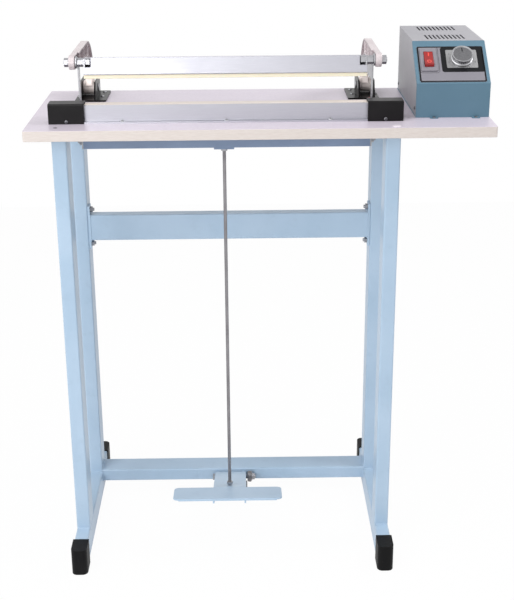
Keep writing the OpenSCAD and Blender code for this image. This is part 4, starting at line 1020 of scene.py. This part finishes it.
# %% Print the label
LABEL_MIDDLE = (0.0, 43.25)
LABEL_SIZE = (112.6, 80.3)
BORDER_W = 2.6
BORDER_CORNERS = (3, 1.5)        # radius outside and inside
FIELD_MIDDLE = (19.2, 52.9)
FIELD_SIZE = (72.0, 56.0)
FIELD_CORNER = 4
HOLE_MIDDLE = (19.2, 53.2)       # the dial's plate hides this hole in the field
HOLE = (9.0, 9.0, 4.4)           # width, length and the corners' radius
LINE_SIZE = (34.4, 59.4)
LINE_W = 0.5
LINE_CORNERS = (5, 4.6)


def inked(outer, inner):
    """Ring of ink between two loops on the label."""
    return band(outer, inner, LABEL_TOP, LABEL_TOP + INK)


def inset(size, width):
    return [length - 2 * width for length in size]


border = inked(loop(LABEL_MIDDLE, *LABEL_SIZE, BORDER_CORNERS[0]),
               loop(LABEL_MIDDLE, *inset(LABEL_SIZE, BORDER_W), BORDER_CORNERS[1]))
field = inked(loop(FIELD_MIDDLE, *FIELD_SIZE, FIELD_CORNER), loop(HOLE_MIDDLE, *HOLE))
frame_line = inked(loop(ROCKER, *LINE_SIZE, LINE_CORNERS[0]),
                   loop(ROCKER, *inset(LINE_SIZE, LINE_W), LINE_CORNERS[1]))
finished("label_print", joined([(bm, PANEL) for bm in (border, field, frame_line)]), ink_and_recess_shade, "stand")

# %% Dial marks and numbers
MARKS = 31
MARK_STEP = 10           # degrees
FIRST_MARK = -150
MARK_R = 19.9
LONG_MARK = 1.9
SHORT_MARK = 1.2
LONG_EVERY = 5
NUMBERS = (("2", -110), ("4", -62), ("6", 62), ("8", 110))       # with their degrees
NUMBER_R = (23.6, 22.4)  # the numbers stand on an oval, across and along
NUMBER_SIZE = 4.6
PLATE_REACH = 19.0       # marks further up or down would lie off the plate
MARK_HALF = 0.2
marks = []
for k in range(MARKS):
    degrees = FIRST_MARK + MARK_STEP * k
    reach = LONG_MARK if k % LONG_EVERY == 0 else SHORT_MARK
    spot = on_dial(degrees, MARK_R, MARK_R)
    if abs(spot[1] - DIAL[1]) > PLATE_REACH:
        continue
    outline = [(-MARK_HALF, 0), (MARK_HALF, 0), (MARK_HALF, reach), (-MARK_HALF, reach)]
    mark = slab(outline, PLATE_TOP, PLATE_TOP + INK)
    turn_by = Matrix.Rotation(-math.radians(degrees), 4, "Z")
    marks.append((mark, PANEL @ moved(*spot, 0) @ turn_by))
for text, degrees in NUMBERS:
    spot = on_dial(degrees, *NUMBER_R)
    marks.append((figure(text, NUMBER_SIZE), PANEL @ moved(*spot, PLATE_TOP + INK / 2)))
finished("dial_print", joined(marks), print_dark, "stand")

# %% Rim and cap of the knob
KNOB_BASE = 1.9
KNOB_H = 12
KNOB_TOP = KNOB_BASE + KNOB_H
RIM_R = 17.4
RIM_WIRE_R = 0.6
RIM_STEPS = 64
RIM_DEPTH = 0.62         # the wire's middle, below the knob's top
INLAY = [(0, 1.1), (5.2, 1.15), (5.8, 1.38), (15.6, 1.38), (15.9, 1.5), (0, 1.6)]    # radius and depth
POINTER_MIDDLE = (0, 10.4)
POINTER = (1.5, 8.6, 0.6)        # width, length and the corners' radius
POINTER_LOW = 1.4                # depths of its two faces
POINTER_HIGH = 1.1
knob_place = PANEL @ moved(*DIAL, 0)
rim = bmesh.new()
rim_turns = [2 * math.pi * k / RIM_STEPS for k in range(RIM_STEPS)]
sweep(rim, [Vector((RIM_R * math.cos(t), RIM_R * math.sin(t), KNOB_TOP - RIM_DEPTH)) for t in rim_turns],
      RIM_WIRE_R, 10, True)
finished("knob_rim", joined([(rim, knob_place)]), rim_metal, "knob")
cap = bmesh.new()
spun(cap, [(radius, KNOB_TOP - depth) for radius, depth in INLAY], RIM_STEPS)
pointer = slab(loop(POINTER_MIDDLE, *POINTER), KNOB_TOP - POINTER_LOW, KNOB_TOP - POINTER_HIGH)
finished("knob_inlay", joined([(cap, knob_place)]), turned, "knob")
finished("knob_pointer", joined([(pointer, knob_place)]), ink_and_recess_shade, "knob")

# %% Bezel
BEZEL_HALF = (8.1, 17.6)     # half of the opening that the rocker sits in
BEZEL_DARK_TOP = 1.4         # the opening's walls are dark below this height
bezel = rounded("rocker_bezel", bezel_grey, 0.6)
bezel.data.materials.append(bezel_black)
to_panel = PANEL.inverted() @ Matrix.Scale(1 / MM, 4)
for face in bezel.data.polygons:
    spot = to_panel @ face.center
    inside = abs(spot.x - ROCKER[0]) < BEZEL_HALF[0] and abs(spot.y - ROCKER[1]) < BEZEL_HALF[1]
    face.material_index = 1 if inside and spot.z < BEZEL_DARK_TOP else 0

# %% Marks on the rocker, whose pale pink is also painted highlight
ROCKER_REST = -7         # degrees: the rocker stands switched to one side
ROCKER_SUNK = 1.0
MARK_Y = 8.8
MARK_Z = 6.05
MARK_T = 0.3
STROKE = (2.2, 7.4, 0.9)     # width, length and the corners' radius
RING_OUTSIDE = (7.6, 8.4, 3.79)
RING_INSIDE = (4.4, 5.2, 2.19)
ROCKER_RISE = 2.0        # each half of the rocker rises this much over its length
ROCKER_HALF = 17.2
rocker_place = (PANEL @ moved(*ROCKER, -ROCKER_SUNK)
                @ Matrix.Rotation(math.radians(ROCKER_REST), 4, "X"))
slope = math.atan2(ROCKER_RISE, ROCKER_HALF)
upper = rocker_place @ moved(0, MARK_Y, MARK_Z) @ Matrix.Rotation(slope, 4, "X")
lower = rocker_place @ moved(0, -MARK_Y, MARK_Z) @ Matrix.Rotation(-slope, 4, "X")
stroke = slab(loop((0, 0), *STROKE), 0, MARK_T)
ring = band(loop((0, 0), *RING_OUTSIDE), loop((0, 0), *RING_INSIDE), 0, MARK_T)
# Real I and O marks, coloured bright pink as painted highlight.
finished("rocker_marks_and_painted_highlights", joined([(stroke, upper), (ring, lower)]), pink_marks_and_highlights, "rocker_switch")

# %% [markdown]
# ## Table
# A pale cap hides a hole near the front edge on the right, and a screw lies almost flush on the left.

# %% Cap and screw in the table's top
CAP_AT = (225.0, -158.8, TABLE_Z)
CAP_DOME = [(0, 0), (7.5, 0), (7.5, 0.5), (6.6, 1.1), (4.4, 1.35), (0, 1.4)]        # radius and height
CAP_STEPS = 40
FLUSH_AT = (-338.5, -147.9, TABLE_Z)
FLUSH_HEAD = (3.4, 0.4)      # radius and height
FLUSH_CROSS = (2.1, 0.39)
cap_place = moved(*CAP_AT)
flush_place = moved(*FLUSH_AT)
cover_cap = bmesh.new()
spun(cover_cap, CAP_DOME, CAP_STEPS)
finished("table_top_cap", joined([(cover_cap, cap_place)]), cap_pale, "stand")
finished("table_top_screw", joined([(head(*FLUSH_HEAD), flush_place)]), screw_steel, "stand")
# Painted shade of this screw's cross recess, as a thin dark cross.
finished("table_top_screw_recess_shade", joined([(cross(*FLUSH_CROSS), flush_place)]), ink_and_recess_shade, "stand")
